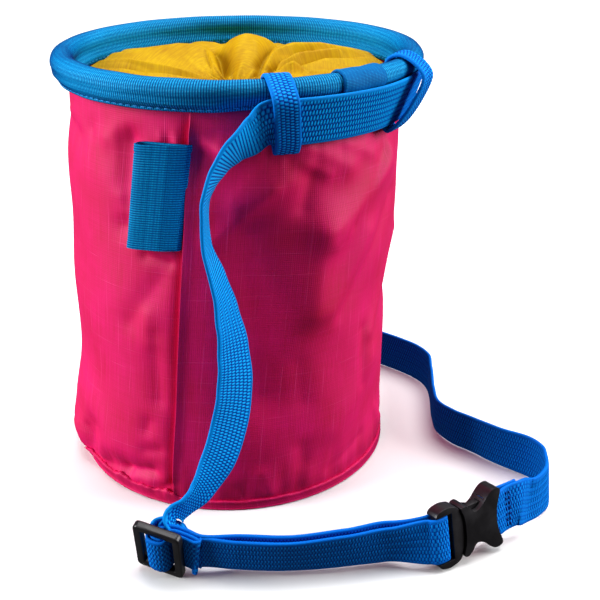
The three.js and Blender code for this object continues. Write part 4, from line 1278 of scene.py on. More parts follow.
@dataclass
class StrapPath:
    """A smooth line through stations, read at even distances."""

    stations: Sequence[Station]
    samples: int = 40

    def read(self, step: float) -> tuple[Numbers, Numbers, Numbers, Numbers]:
        """Reads the line at even distances.

        Args:
            step: The distance between places, in millimetres.

        Returns:
            Distances, middles, width directions and face directions.
        """
        points = np.array([s.middle for s in self.stations])
        widths = np.array([s.across / np.linalg.norm(s.across) for s in self.stations])
        padded = np.vstack([2 * points[0] - points[1], points, 2 * points[-1] - points[-2]])
        middles, across = [], []
        t = np.linspace(0, 1, self.samples, endpoint=False)[:, None]
        for k in range(len(points) - 1):
            a, b, c, d = padded[k : k + 4]
            gaps = [max(np.linalg.norm(q - p) ** 0.5, 1e-4) for p, q in ((a, b), (b, c), (c, d))]
            out = (b - a) / gaps[0] - (c - a) / (gaps[0] + gaps[1]) + (c - b) / gaps[1]
            inn = (c - b) / gaps[1] - (d - b) / (gaps[1] + gaps[2]) + (d - c) / gaps[2]
            out, inn = out * gaps[1], inn * gaps[1]
            middles.append(hermite(t, b, out, c, inn))
            mix = t * t * (3 - 2 * t)
            across.append(widths[k] * (1 - mix) + widths[k + 1] * mix)
        middle = np.vstack([*middles, points[-1:]])
        wide = np.vstack([*across, widths[-1:]])
        reach = distances(middle)
        count = max(2, int(round(reach[-1] / step)))
        even = np.linspace(0, reach[-1], count + 1)
        middle, wide = read_path(even, reach, middle), read_path(even, reach, wide)
        tangent = np.gradient(middle, axis=0)
        tangent /= np.linalg.norm(tangent, axis=1, keepdims=True)
        wide -= tangent * np.sum(wide * tangent, axis=1, keepdims=True)
        wide /= np.linalg.norm(wide, axis=1, keepdims=True)
        return even, middle, wide, np.cross(tangent, wide)


@dataclass
class Strap:
    """A flat webbing strap with round edges and real cross ribs."""

    name: str
    stations: Sequence[Station]
    width: float = BELT_WIDTH
    thick: float = BELT_THICK
    rib: float = 1.15
    rib_height: float = 0.09
    face_points: int = 14
    per_rib: int = 4
    column: float = 2.05
    nub_height: float = 0.0
    plain: tuple[float, float] | None = None

    def _section(self) -> Numbers:
        """Place across and off the middle of each point round the section."""
        half, deep = self.width / 2, self.thick / 2
        flat = np.linspace(-half + deep, half - deep, self.face_points)
        turn = np.linspace(90, -90, 7)[1:-1] * DEG
        edge = np.stack([half - deep + deep * np.cos(turn), deep * np.sin(turn)], axis=-1)
        top = np.stack([flat, 0 * flat + deep], axis=-1)
        return np.vstack([top, edge, -top, -edge, top[:1]])

    def _plain_share(self, reach: Numbers) -> Numbers:
        """1 where the strap has plain ribs in place of nubs."""
        if not self.plain:
            return np.zeros_like(reach)
        start, end = self.plain
        begun = smooth_step(start, start + PLAIN_GROW, reach)
        return begun * (1 - smooth_step(end, end + PLAIN_FADE, reach))

    def build(self) -> bpy.types.Object:
        """Builds the strap."""
        reach, middle, wide, face = StrapPath(self.stations).read(self.rib / self.per_rib)
        section = self._section()
        round_length = distances(section)
        ways, count = len(section) - 1, len(reach) - 1

        def place(u: Numbers, v: Numbers) -> Numbers:
            """Millimetre places for shares of the grid."""
            i = np.rint(u * count).astype(int)
            j = np.rint(v * ways).astype(int)
            across, off = section[j, 0], section[j, 1]
            turn = 2 * math.pi * reach[i] / self.rib
            lift = self.rib_height * np.cos(turn)
            if self.nub_height:
                columns = (across + self.width / 2) / self.column
                shift = (np.floor(columns) % 2) * math.pi
                nub = np.abs(np.sin(math.pi * columns)) ** 0.6
                nub = self.nub_height * nub * (1 + np.cos(turn + shift)) / 2
                plain = self._plain_share(reach[i])
                lift = nub * (1 - plain) + 0.8 * lift * plain
            edge = np.abs(across) / (self.width / 2)
            lift = lift * (1 - smooth_step(0.88, 0.93, edge))
            thick = off * (1 + lift / (self.thick / 2))
            return middle[i] + wide[i] * across[:, None] + face[i] * thick[:, None]

        def texture(u: Numbers, v: Numbers) -> Numbers:
            """Millimetre distances on the cloth for shares of the grid."""
            across = np.interp(v, np.linspace(0, 1, ways + 1), round_length)
            return np.stack([u * reach[-1], across], axis=-1)

        LOG.info("%s: %.0f mm long", self.name, reach[-1])
        return make_surface(self.name, count, ways, place, texture, cap_ends=True)


def unit(*parts: float) -> Numbers:
    """A direction of length 1."""
    made = np.array(parts, float)
    return made / np.linalg.norm(made)


def floor_station(x: float, y: float, foot: float, lean_x: float, lean_y: float) -> Station:
    """A station by its foot's plan place, as shares of the rim radius, and its lean."""
    across = unit(lean_x, lean_y, 1)
    middle = np.array([x * RIM_RADIUS, y * RIM_RADIUS, foot]) + across * BELT_WIDTH / 2
    return Station(middle, across)


def bag_station(angle: float, radius: float, z: float, lean: float) -> Station:
    """A station at an angle and radius round the bag, with its top edge leaning outwards."""
    tilt, turn = lean * DEG, angle * DEG
    out = math.sin(tilt)
    across = np.array([out * math.cos(turn), out * math.sin(turn), math.cos(tilt)])
    return Station(around_bag(angle, radius, z), across)


@dataclass
class HardwareFrame:
    """Where a buckle or slider stands and which way it faces."""

    x: float
    y: float
    foot: float
    angle: float
    lean_x: float
    lean_y: float
    height: float
    along: Numbers = field(init=False)
    across: Numbers = field(init=False)
    normal: Numbers = field(init=False)
    origin: Numbers = field(init=False)

    def __post_init__(self) -> None:
        """Works out the three directions and the middle."""
        self.across = unit(self.lean_x, self.lean_y, 1)
        along = np.array([math.cos(self.angle * DEG), math.sin(self.angle * DEG), 0])
        self.along = unit(*(along - self.across * along.dot(self.across)))
        self.normal = np.cross(self.along, self.across)
        foot = np.array([self.x * RIM_RADIUS, self.y * RIM_RADIUS, self.foot])
        self.origin = foot + self.across * self.height / 2

    def station(self, s: float, n: float) -> Station:
        """A station at a place along the strap and off the middle plane."""
        return Station(self.origin + self.along * s + self.normal * n, self.across)

    def matrix(self) -> Matrix:
        """Turns flat millimetre meshes into place in metres."""
        axes = np.stack([self.along, self.across, self.normal], axis=-1)
        turn = Matrix([list(row) for row in axes])
        return Matrix.Scale(MM, 4) @ Matrix.Translation(Vector(self.origin)) @ turn.to_4x4()


SLOT_HEIGHT = BELT_WIDTH + 2 * GAP
SLIDER = HardwareFrame(-0.295, -1.435, 1.4, -22, 0.02, -0.36, SLOT_HEIGHT + 2 * 2.5)
BUCKLE = HardwareFrame(1.128, -1.418, 0.1, 31, -0.12, 0.10, SLOT_HEIGHT + 2 * 3.2)
ON_BAR = GAP + BELT_THICK / 2
FALL_PLAIN = (62.0, 120.0)
LAYER = BELT_THICK + GAP
ROUND = math.sqrt(0.5)


@dataclass
class Belt:
    """The waist belt: the run round the rim and its fall, the adjuster, and the long run behind."""

    # Plan place as shares of the rim radius, foot height, lean of the top edge
    floor_run: tuple = (
        (1.642, -1.062, 2.4, -0.09, 0.03),
        (1.712, -0.996, 1.4, -0.10, 0.02),
        (1.780, -0.900, 0.9, -0.08, 0.10),
        (1.800, -0.790, 0.6, -0.07, 0.13),
        (1.797, -0.695, 0.5, -0.06, 0.12),
        (1.745, -0.605, 0.4, -0.06, 0.13),
        (1.585, -0.470, 0.4, -0.08, 0.02),
        (1.438, -0.320, 0.4, -0.08, -0.07),
        (1.350, -0.240, 0.4, -0.07, -0.09),
        (1.272, -0.100, 0.4, -0.06, -0.20),
        (1.262, 0.080, 0.4, -0.06, -0.26),
        (1.276, 0.330, 0.4, -0.05, -0.16),
        (1.262, 0.470, 0.4, 0.02, 0.00),
        (1.205, 0.590, 0.4, 0.00, 0.03),
        (1.105, 0.700, 0.4, -0.03, 0.03),
        (0.980, 0.805, 0.4, -0.03, 0.02),
        (0.780, 0.960, 0.4, 0, 0),
        (0.520, 1.180, 0.4, 0, 0),
        (0.220, 1.430, 0.4, 0, 0),
        (-0.140, 1.610, 0.4, 0, 0),
        (-0.520, 1.640, 0.4, 0, 0),
        (-0.800, 1.480, 1.0, 0, 0),
        (-0.880, 1.220, 5.0, 0, 0),
    )
    # Angle, radius share of the rim's, height share of the bag's, lean
    rear_rise: tuple = (
        (119, 1.150, 0.240, 6),
        (104, 1.060, 0.390, 8),
        (84, 1.020, 0.555, 10),
        (62, 1.000, 0.710, 12),
        (38, 0.995, 0.825, 15),
        (14, 0.988, 0.893, 18),
    )
    # Plan place as shares of the rim radius, height share of the bag's, direction of the top edge
    front_fall: tuple = (
        (0.196, -1.001, 0.900, -0.04, -0.50, 0.84),
        (0.109, -1.050, 0.875, -0.10, -0.76, 0.62),
        (0.035, -1.080, 0.840, -0.08, -0.87, 0.47),
        (-0.017, -1.100, 0.797, -0.04, -0.94, 0.33),
        (-0.038, -1.100, 0.755, -0.01, -0.98, 0.22),
        (-0.033, -1.100, 0.678, -0.04, -0.98, 0.15),
        (0.017, -1.100, 0.604, -0.18, -0.97, 0.15),
        (0.053, -1.100, 0.527, -0.35, -0.92, 0.15),
        (0.076, -1.100, 0.449, -0.52, -0.84, 0.15),
        (0.079, -1.114, 0.369, -0.64, -0.75, 0.15),
        (0.051, -1.143, 0.291, -0.70, -0.68, 0.22),
        (-0.004, -1.200, 0.218, -0.66, -0.64, 0.38),
        (-0.091, -1.271, 0.158, -0.42, -0.70, 0.57),
        (-0.165, -1.330, 0.135, -0.18, -0.70, 0.68),
        (-0.230, -1.375, 0.118, -0.10, -0.55, 0.83),
    )
    adjuster_run: tuple = (
        (-0.10, -1.455, 3.0, 0.06, -0.37),
        (0.10, -1.470, 2.9, 0.04, -0.40),
        (0.35, -1.480, 2.9, 0.01, -0.40),
        (0.63, -1.451, 3.1, -0.03, -0.33),
        (0.85, -1.412, 3.0, -0.04, -0.24),
    )
    tail_behind: tuple = (
        (2.05, -1.4),
        (2.4, -2.6),
        (3.4, -3.6),
        (5.0, -4.05),
        (8.5, -4.05),
        (11, -3.9),
        (14, -3.5),
    )
    back_behind: tuple = (
        (-2.05, -1.2),
        (-1.9, -2.1),
        (-1.1, -2.7),
        (0.5, -3.8),
        (2.2, -5.1),
        (4.5, -5.75),
        (8.5, -5.75),
        (14, -5.4),
    )
    front_behind: tuple = (
        (13, -2.3),
        (8.5, -2.4),
        (6.2, -2.4),
        (5, -2.35),
        (4.05, -1.9),
        (3.65, -1.2),
    )
    fall_behind: tuple = ((-3.7, -1.6), (-3.9, -2.6), (-3.95, -3.3))
    fall_foot: tuple = ((1.5, -8.0), (-1.6, -7.2), (-3.4, -5.6), (-3.95, -4.3), (-3.95, -3.6))
    rim_front: tuple = (-27.6, -34, -42, -50, -58, -66, -73, -79)
    rim_rear: tuple = (-9, -20, -27)
    sewn_tail: float = 37
    sewn_rows: tuple = (30.5, 32.0)
    sewn_lift: float = 1.32
    sewn_half: float = 7.6
    female_bar: float = 22.2
    female_bar_size: tuple = (2.2, 1.2)
    male_bar_size: tuple = (3.6, 2.4)
    centre_bar: float = 2.2
    centre_front: float = 0.2
    closer: float = 0.8
    top_radius: float = RIM_RADIUS + GAP + TAPE_WALL + GAP + BELT_THICK / 2
    foot_radius: float = TOP_SHARE * BASE_RADIUS + 4 * GAP + LOOP_THICK + BELT_THICK / 2

    @property
    def lean(self) -> float:
        """How far the belt leans outwards on the rim, in degrees."""
        return math.asin((self.top_radius - self.foot_radius) / BELT_WIDTH) / DEG

    @property
    def rim_height(self) -> float:
        """Height of the belt's middle on the rim."""
        return BAG_HEIGHT - ROLL_HEIGHT * 0.69 - math.cos(self.lean * DEG) * BELT_WIDTH / 2

    def closer_by(self, angle: float) -> float:
        """How much nearer the belt lies to the roll past the tape."""
        return float(self.closer * smooth_step(TAPE_TO + 1, TAPE_TO + 11, angle))

    def rim_station(self, angle: float) -> Station:
        """A station of the belt on the rim."""
        radius = (self.top_radius + self.foot_radius) / 2 - self.closer_by(angle)
        return bag_station(angle, radius, self.rim_height, self.lean)

    @staticmethod
    def turn_round(middle: float, size: Sequence[float], side: int) -> list[Station]:
        """Half a turn of webbing round one of the buckle's bars."""
        half, deep = size[0] / 2, size[1] / 2
        rows = (
            (half, -deep - ON_BAR),
            (half + ON_BAR * ROUND, -deep - ON_BAR * ROUND),
            (half + ON_BAR, -deep),
            (half + ON_BAR, deep),
            (half + ON_BAR * ROUND, deep + ON_BAR * ROUND),
            (half, deep + ON_BAR),
        )
        return [BUCKLE.station(middle + side * s, n) for s, n in rows]

    def over_centre(self, extra: float) -> list[Station]:
        """Webbing over the slider's centre bar, from one slot to the other."""
        away, half, front = ON_BAR + extra, self.centre_bar / 2, self.centre_front
        rows = (
            (half + away, front - 0.8),
            (half + away, front),
            (half + away * ROUND, front + away * ROUND),
            (half, front + away),
            (-half, front + away),
            (-half - away * ROUND, front + away * ROUND),
            (-half - away, front),
            (-half - away, front - 0.8),
        )
        return self._at_slider(rows)

    def _layer(self, behind: float, lift: float) -> list[Station]:
        """One layer of the adjuster between the slider and the buckle."""
        made = [floor_station(*row) for row in self.adjuster_run]
        for station in made:
            station.middle = station.middle + np.array([0, behind, lift])
        return made

    @staticmethod
    def _at_slider(rows: Sequence[Sequence[float]]) -> list[Station]:
        """Stations at places along the slider and off its middle plane."""
        return [SLIDER.station(s, n) for s, n in rows]

    def adjuster(self) -> list[Station]:
        """The doubled strap between the slider and the buckle."""
        width, thick = self.male_bar_size
        front = thick / 2 + ON_BAR
        return [
            *self._at_slider(self.tail_behind)[::-1],
            *self.over_centre(0),
            *self._at_slider(self.back_behind),
            *self._layer(2 * LAYER, 0.5)[1:],
            BUCKLE.station(-6, -front - 1.7),
            *self.turn_round(0, self.male_bar_size, 1),
            BUCKLE.station(-width / 2 - ON_BAR * ROUND, thick / 2 + ON_BAR * ROUND),
            BUCKLE.station(-width / 2 - ON_BAR - 1.4, 0),
            *self._layer(0, 0)[::-1],
            *self._at_slider(self.front_behind),
            *self.over_centre(LAYER),
            *self._at_slider(self.fall_behind),
        ]

    def rear(self) -> list[Station]:
        """The long run from the buckle along the floor, behind the bag and up to the side loop."""
        front = self.female_bar_size[1] / 2 + ON_BAR
        return [
            BUCKLE.station(self.sewn_tail, 0.6 - LAYER),
            BUCKLE.station(self.sewn_tail - 6, 0.4 - LAYER),
            BUCKLE.station(self.female_bar + 3, -front),
            *self.turn_round(self.female_bar, self.female_bar_size, -1),
            BUCKLE.station(self.female_bar + 4, front),
            BUCKLE.station(self.sewn_tail - 6, 0.6),
            BUCKLE.station(self.sewn_tail, 0.8),
            *(floor_station(*row) for row in self.floor_run),
            *(
                bag_station(angle, radius * RIM_RADIUS, height * BAG_HEIGHT, lean)
                for angle, radius, height, lean in self.rear_rise
            ),
            *(self.rim_station(angle) for angle in self.rim_rear),
        ]

    def front(self) -> list[Station]:
        """The run from the side loop along the rim, then down in a slow twist."""
        return [
            *(self.rim_station(angle) for angle in self.rim_front),
            *(
                Station(np.array([x * RIM_RADIUS, y * RIM_RADIUS, z * BAG_HEIGHT]), unit(*top))
                for x, y, z, *top in self.front_fall
            ),
            *self._at_slider(self.fall_foot),
        ]

    def build(
        self, floor_cloth: bpy.types.Material, fall: bpy.types.Material, thread: bpy.types.Material
    ) -> None:
        """Builds, dresses and fastens the three runs and the stitches by the buckle.

        Args:
            floor_cloth: The webbing of the runs on the floor, a darker copy that paints the shade
                they lie in.
            fall: The webbing of the run along the rim and down, a brighter copy with a stronger
                glint that paints the light it catches.
            thread: The stitches' thread.
        """
        runs = (
            ("belt_front_webbing", self.front(), "belt_front", 34, 0.16, fall),
            ("belt_rear_webbing", self.rear(), "belt_rear", 14, 0.0, floor_cloth),
            ("belt_adjuster_webbing", self.adjuster(), "belt_adjuster", 14, 0.0, floor_cloth),
        )
        bm = bmesh.new()
        line = StitchLine(length=1.5, thick=0.5, pitch=2.1)
        wide = np.linspace(-self.sewn_half, self.sewn_half, 9)[:, None]
        for place in self.sewn_rows:
            row = BUCKLE.station(place, self.sewn_lift).middle + BUCKLE.across * wide
            line.add(bm, row, np.tile(BUCKLE.normal, (len(row), 1)))
        fasten(from_bmesh("belt_stitches", bm), thread, "belt_webbing")
        for name, stations, node, points, nub, cloth in runs:
            plain = FALL_PLAIN if nub else None
            strap = Strap(name, stations, face_points=points, nub_height=nub, plain=plain)
            fasten(strap.build(), cloth, "belt_webbing", node)


@dataclass
class BeltLoops:
    """The two narrow webbing loops that carry the belt on the rim."""

    belt: Belt
    # Angle at the top, angle at the foot, slack
    loops: tuple = (("belt_loop_front", -76, -73, 1.1), ("belt_loop_side", -24.5, -30, 3.4))

    def path(self, slack: float, closer: float) -> list[tuple[float, float]]:
        """Radius and height of the loop's middle, from inside the rim to behind the belt."""
        belt, half = self.belt, LOOP_THICK / 2
        roof = BAG_HEIGHT + GAP + half
        inner = RIM_RADIUS - ROLL_WIDTH - 2 * GAP - half
        skirt = TOP_SHARE * BASE_RADIUS - WALL - SKIRT_WALL - 3 * GAP - half
        rise = math.cos(belt.lean * DEG) * BELT_WIDTH / 2
        head, foot = belt.rim_height + rise, belt.rim_height - rise
        over = BELT_THICK / 2 + GAP + half
        middle = (belt.top_radius + belt.foot_radius) / 2
        return [
            (skirt, BAG_HEIGHT - ROLL_HEIGHT - 1),
            (skirt, BAG_HEIGHT - ROLL_HEIGHT + 1.2),
            (inner, ROLL_MIDDLE + 0.6),
            (inner + 1.4, roof - 1.2),
            (ROLL_RADIUS, roof + 0.2),
            (RIM_RADIUS + 0.6 + slack * 0.3, roof - 2),
            (belt.top_radius + over + 0.3 + slack * 0.8 - closer, head),
            (middle + over + 0.5 + slack - closer, belt.rim_height),
            (belt.foot_radius + over + 0.5 + slack * 0.5 - closer, foot + 0.5),
            (belt.foot_radius + 0.1 - closer, foot - 2 * GAP - half - 0.95),
            (belt.foot_radius - over - 0.3 - closer, foot + 0.6),
            (belt.foot_radius - over - closer, foot + 6),
        ]

    def build(self, webbing: bpy.types.Material) -> None:
        """Builds, dresses and fastens the loops."""
        rise = math.cos(self.belt.lean * DEG) * BELT_WIDTH / 2
        foot_height = self.belt.rim_height - rise
        for name, top, foot, slack in self.loops:
            path = self.path(slack, self.belt.closer_by(foot))
            head = path[4][1]
            stations = []
            for i, (radius, z) in enumerate(path):
                down = min(max((head - z) / (head - foot_height), 0), 1)
                angle = top if i < 4 else top + (foot - top) * down
                across = np.array([-math.sin(angle * DEG), math.cos(angle * DEG), 0])
                stations.append(Station(around_bag(angle, radius, z), across))
            strap = Strap(
                f"{name}_webbing",
                stations,
                LOOP_WIDTH,
                LOOP_THICK,
                face_points=20,
                nub_height=0.13,
                per_rib=6,
            )
            fasten(strap.build(), webbing, "loop_webbing", name)


# Brush sleeve


@dataclass
class BrushSleeve:
    """The flat elastic tube that is caught in the side seam."""

    height: float = 40
    width: float = 16.7
    wall: float = 1.1
    bore: float = 4.8
    head: float = 0.912
    tilt: float = 2.1
    past_seam: float = 0.5
    seat: float = 0.55
    ribs: int = 42
    around: int = 72

    def ring(self, turn: Numbers, height: Numbers, spread: Numbers) -> Numbers:
        """Places round the tube.

        Args:
            turn: Radians round the tube.
            height: Heights above the sleeve's foot.
            spread: Distance outside the bore.

        Returns:
            One row of x, y and z for each place.
        """
        cos, sin = np.cos(turn), np.sin(turn)
        wide = (self.width / 2 + spread) * np.sign(cos) * np.abs(cos) ** 0.75
        deep = (self.bore / 2 + spread) * np.sign(sin) * np.abs(sin) ** 0.75
        flat = 1 - 0.86 * (cos + 1) / 2
        deep = (deep + self.bore / 2 + spread) * flat - self.bore / 2 - spread
        share = self.head - (self.height - height) / BAG_HEIGHT
        seam = SEAM_AT_TOP + BagBody.drift(share) + self.past_seam
        z = WALL_FOOT + WALL_RISE * share
        reach = BASE_RADIUS * DEG
        middle = seam - self.width / 2 / reach - self.tilt * (1 - height / self.height)
        clear = self.seat + GAP + self.wall + self.bore / 2 + deep
        return around_bag(middle + wide / reach, 0.972 * BASE_RADIUS + clear, z)

    def build(self, elastic: bpy.types.Material, thread: bpy.types.Material) -> None:
        """Builds, dresses and fastens the sleeve and its stitches."""
        rows = self.ribs * 4
        up, down = np.linspace(0, self.height, rows + 1), np.linspace(self.height, 0, 25)
        heights = np.concatenate([up, [self.height + 0.25], down, [-0.2, 0]])
        half = self.wall / 2
        spread = np.concatenate([0 * up + self.wall, [half], 0 * down, [half, self.wall]])
        steps = np.linspace(0, 1, len(heights))

        def place(u: Numbers, v: Numbers) -> Numbers:
            """Millimetre places for shares of the grid."""
            height, away = np.interp(v, steps, heights), np.interp(v, steps, spread)
            outside = away > self.wall * 0.9
            rib = 0.09 * np.cos(2 * math.pi * height * self.ribs / self.height) * outside
            hem = smooth_step(self.height - 3.2, self.height - 2.6, height) * 0.14 * outside
            hem = hem + (1 - smooth_step(2.2, 2.8, height)) * 0.1 * outside
            groove = -0.25 * np.exp(-(((height - self.height + 3.0) / 0.35) ** 2)) * outside
            return self.ring(-u * 2 * math.pi, height, away + rib + hem + groove)

        def texture(u: Numbers, v: Numbers) -> Numbers:
            """Millimetre distances on the cloth for shares of the grid."""
            return np.stack([np.interp(v, steps, heights) + 5, u * 48], axis=-1)

        sleeve = make_surface("brush_sleeve_elastic", self.around, len(heights) - 1, place, texture)
        fasten(sleeve, elastic, "sleeve_elastic", "brush_sleeve")
        bm = bmesh.new()
        line = StitchLine(length=1.5, thick=0.34, pitch=2.0, sink=0.1)
        turn = np.linspace(-0.93, -0.07, 60) * math.pi
        for height in (self.height - 3.0, 2.4):
            path = self.ring(turn, height + 0 * turn, self.wall + 0.12 + 0 * turn)
            out = path - around_bag(SEAM_AT_TOP, 0, path[:, 2])
            out[:, 2] = 0
            line.add(bm, path, out / np.linalg.norm(out, axis=1, keepdims=True))
        fasten(from_bmesh("brush_sleeve_stitches", bm), thread, "sleeve_elastic")


# Moulded parts


def flat_outline(
    bm: bmesh.types.BMesh, points: Sequence[tuple[float, float]], thick: float
) -> None:
    """Draws a flat outline out through its thickness, both ways from its middle plane."""
    verts = [bm.verts.new((x, y, -thick / 2)) for x, y in points]
    face = bm.faces.new(verts)
    made = bmesh.ops.extrude_face_region(bm, geom=[face])
    lifted = [v for v in made["geom"] if isinstance(v, bmesh.types.BMVert)]
    bmesh.ops.translate(bm, verts=lifted, vec=(0, 0, thick))
    bmesh.ops.recalc_face_normals(bm, faces=bm.faces)


def soft_outline(points: Sequence[tuple[float, float]], steps: int) -> list[tuple[float, float]]:
    """Rounds an open outline through its points."""
    table = [(i, x, y) for i, (x, y) in enumerate(points)]
    at = np.linspace(0, len(points) - 1, (len(points) - 1) * steps + 1)
    return list(zip(read_table(table, at, 1), read_table(table, at, 2)))


@dataclass
class MouldedPart:
    """Builds one moulded part from outlines, cuts and bevelled edges."""

    name: str
    frame: HardwareFrame
    cuts: list = field(default_factory=list)
    adds: list = field(default_factory=list)
    bevel: float = 0.5
    segments: int = 3

    def _tool(self, low: Sequence[float], high: Sequence[float]) -> bpy.types.Object:
        """Makes a box between two corners."""
        size = [b - a for a, b in zip(low, high)]
        middle = [(a + b) / 2 for a, b in zip(low, high)]
        where = Matrix.Translation(middle) @ Matrix.Diagonal((*size, 1))
        bm = bmesh.new()
        bmesh.ops.create_cube(bm, size=1, matrix=where)
        return from_bmesh(f"{self.name}_tool", bm, smooth=False)

    def finish(self, bm: bmesh.types.BMesh) -> bpy.types.Object:
        """Cuts, rounds and places the part.

        Args:
            bm: The body in its own flat millimetres.

        Returns:
            The finished object.
        """
        body = from_bmesh(f"{self.name}_body", bm, smooth=False)
        tools = []
        for boxes, operation in ((self.cuts, "DIFFERENCE"), (self.adds, "UNION")):
            for low, high in boxes:
                tool = self._tool(low, high)
                tools.append(tool)
                made = body.modifiers.new("cut", "BOOLEAN")
                made.operation, made.solver, made.object = operation, "EXACT", tool
        rounded = body.modifiers.new("edges", "BEVEL")
        rounded.width, rounded.segments, rounded.limit_method = self.bevel, self.segments, "ANGLE"
        rounded.angle_limit, rounded.harden_normals = 30 * DEG, False
        rounded.use_clamp_overlap = True
        graph = bpy.context.evaluated_depsgraph_get()
        shaped = bpy.data.meshes.new_from_object(body.evaluated_get(graph))
        for old in (*tools, body):
            bpy.data.objects.remove(old, do_unlink=True)
        shaped.name = self.name
        shaped.transform(self.frame.matrix())
        made = show(shaped)
        shaped.set_sharp_from_angle(angle=35 * DEG)
        return made


@dataclass
class Slider:
    """The strap slider: a rounded frame with a centre bar set back."""

    length: float = 17
    bar: float = 2.5
    centre: float = 2.2
    thick: float = 3.1
    corner: float = 2.0
    # How much larger the outline is than the CAD's, half along and half across
    grown: tuple[float, float] = (0.4, 0.3)

    def build(self, plastic: bpy.types.Material) -> None:
        """Builds, dresses and fastens the slider."""
        half, tall = self.length / 2 + self.grown[0], SLIDER.height / 2 + self.grown[1]
        turns = [quarter * 22.5 * DEG for quarter in range(5)]
        corner = [(self.corner * (1 - math.cos(a)), self.corner * (1 - math.sin(a))) for a in turns]
        outline = []
        for sx, sy, order in ((1, 1, 1), (-1, 1, -1), (-1, -1, 1), (1, -1, -1)):
            outline += [(sx * (half - a), sy * (tall - b)) for a, b in corner[::order]]
        bm = bmesh.new()
        flat_outline(bm, outline, self.thick)
        slot = (self.length - 2 * self.bar - self.centre) / 2
        window = (self.centre + slot) / 2
        deep, high = self.thick, SLOT_HEIGHT / 2
        cuts = [
            ((side * window - slot / 2, -high, -deep), (side * window + slot / 2, high, deep))
            for side in (-1, 1)
        ]
        cuts.append(((-self.centre, -high, 0.2), (self.centre, high, deep)))
        part = MouldedPart("strap_slider_moulding", SLIDER, cuts=cuts, bevel=0.62, segments=4)
        fasten(part.finish(bm), plastic, "black_plastic", "strap_slider")


@dataclass
class Buckle:
    """The side release buckle, closed."""

    thick: float = 7
    male_thick: float = 5.4
    tongue_thick: float = 2.6
    # Place along the strap and half height
    female_outline: tuple = (
        (9.9, 2.4),
        (9.4, 6.2),
        (8.4, 8.9),
        (8.9, 9.9),
        (10.5, 10.0),
        (12.3, 8.6),
        (13.6, 6.9),
        (15.2, 6.4),
        (17.6, 7.6),
        (20.0, 10.0),
        (22.2, 11.6),
        (24.6, 11.9),
        (26.1, 11.0),
        (25.9, 9.2),
        (24.6, 5.2),
        (24.1, 1.8),
    )
    male_outline: tuple = (
        (-2.2, 9.9),
        (-1.0, 11.2),
        (2.6, 11.9),
        (6.4, 11.0),
        (8.0, 9.4),
        (8.0, 8.8),
        (8.9, 6.0),
        (9.4, 2.3),
    )

    @staticmethod
    def _mirrored(half: Sequence[tuple[float, float]]) -> list[tuple[float, float]]:
        """An outline and its mirror image, as one round."""
        return [(x, -y) for x, y in half] + [(x, y) for x, y in reversed(half)]

    def build(self, plastic: bpy.types.Material) -> None:
        """Builds, dresses and fastens both halves."""
        pocket = self.tongue_thick / 2 + GAP
        strap = ON_BAR + 0.6 + BELT_THICK / 2 + GAP / 2
        slot = SLOT_HEIGHT / 2
        bm = bmesh.new()
        flat_outline(bm, soft_outline(self._mirrored(self.female_outline), 3), self.thick)
        female = MouldedPart(
            "buckle_female_moulding",
            BUCKLE,
            cuts=[
                ((6.5, -6.3, -pocket), (18.3, 6.3, pocket)),
                ((11.9, -14, -pocket), (18.3, 14, pocket)),
                ((19.2, -slot, -strap), (44, slot, strap)),
            ],
            adds=[((21.1, -slot - 0.5, -0.6), (23.3, slot + 0.5, 0.6))],
            bevel=0.75,
            segments=4,
        )
        fasten(female.finish(bm), plastic, "black_plastic", "buckle_female")
        bm = bmesh.new()
        flat_outline(bm, soft_outline(self._mirrored(self.male_outline), 3), self.male_thick)
        spare = self.male_thick / 2 + 1
        male = MouldedPart(
            "buckle_male_moulding",
            BUCKLE,
            cuts=[
                ((-7.8, -slot, -6), (-1.8, slot, 6)),
                ((1.8, -slot, -6), (4.6, slot, 6)),
                ((-2.3, -slot, 1.2), (2.3, slot, spare)),
                ((-2.3, -slot, -spare), (2.3, slot, -1.2)),
            ],
            adds=[
                ((7.5, -6, -1.3), (18, 6, 1.3)),
                ((12.2, -8.2, -1.3), (18, 8.2, 1.3)),
            ],
            bevel=0.5,
            segments=3,
        )
        fasten(male.finish(bm), plastic, "black_plastic", "buckle_male")


# Studio


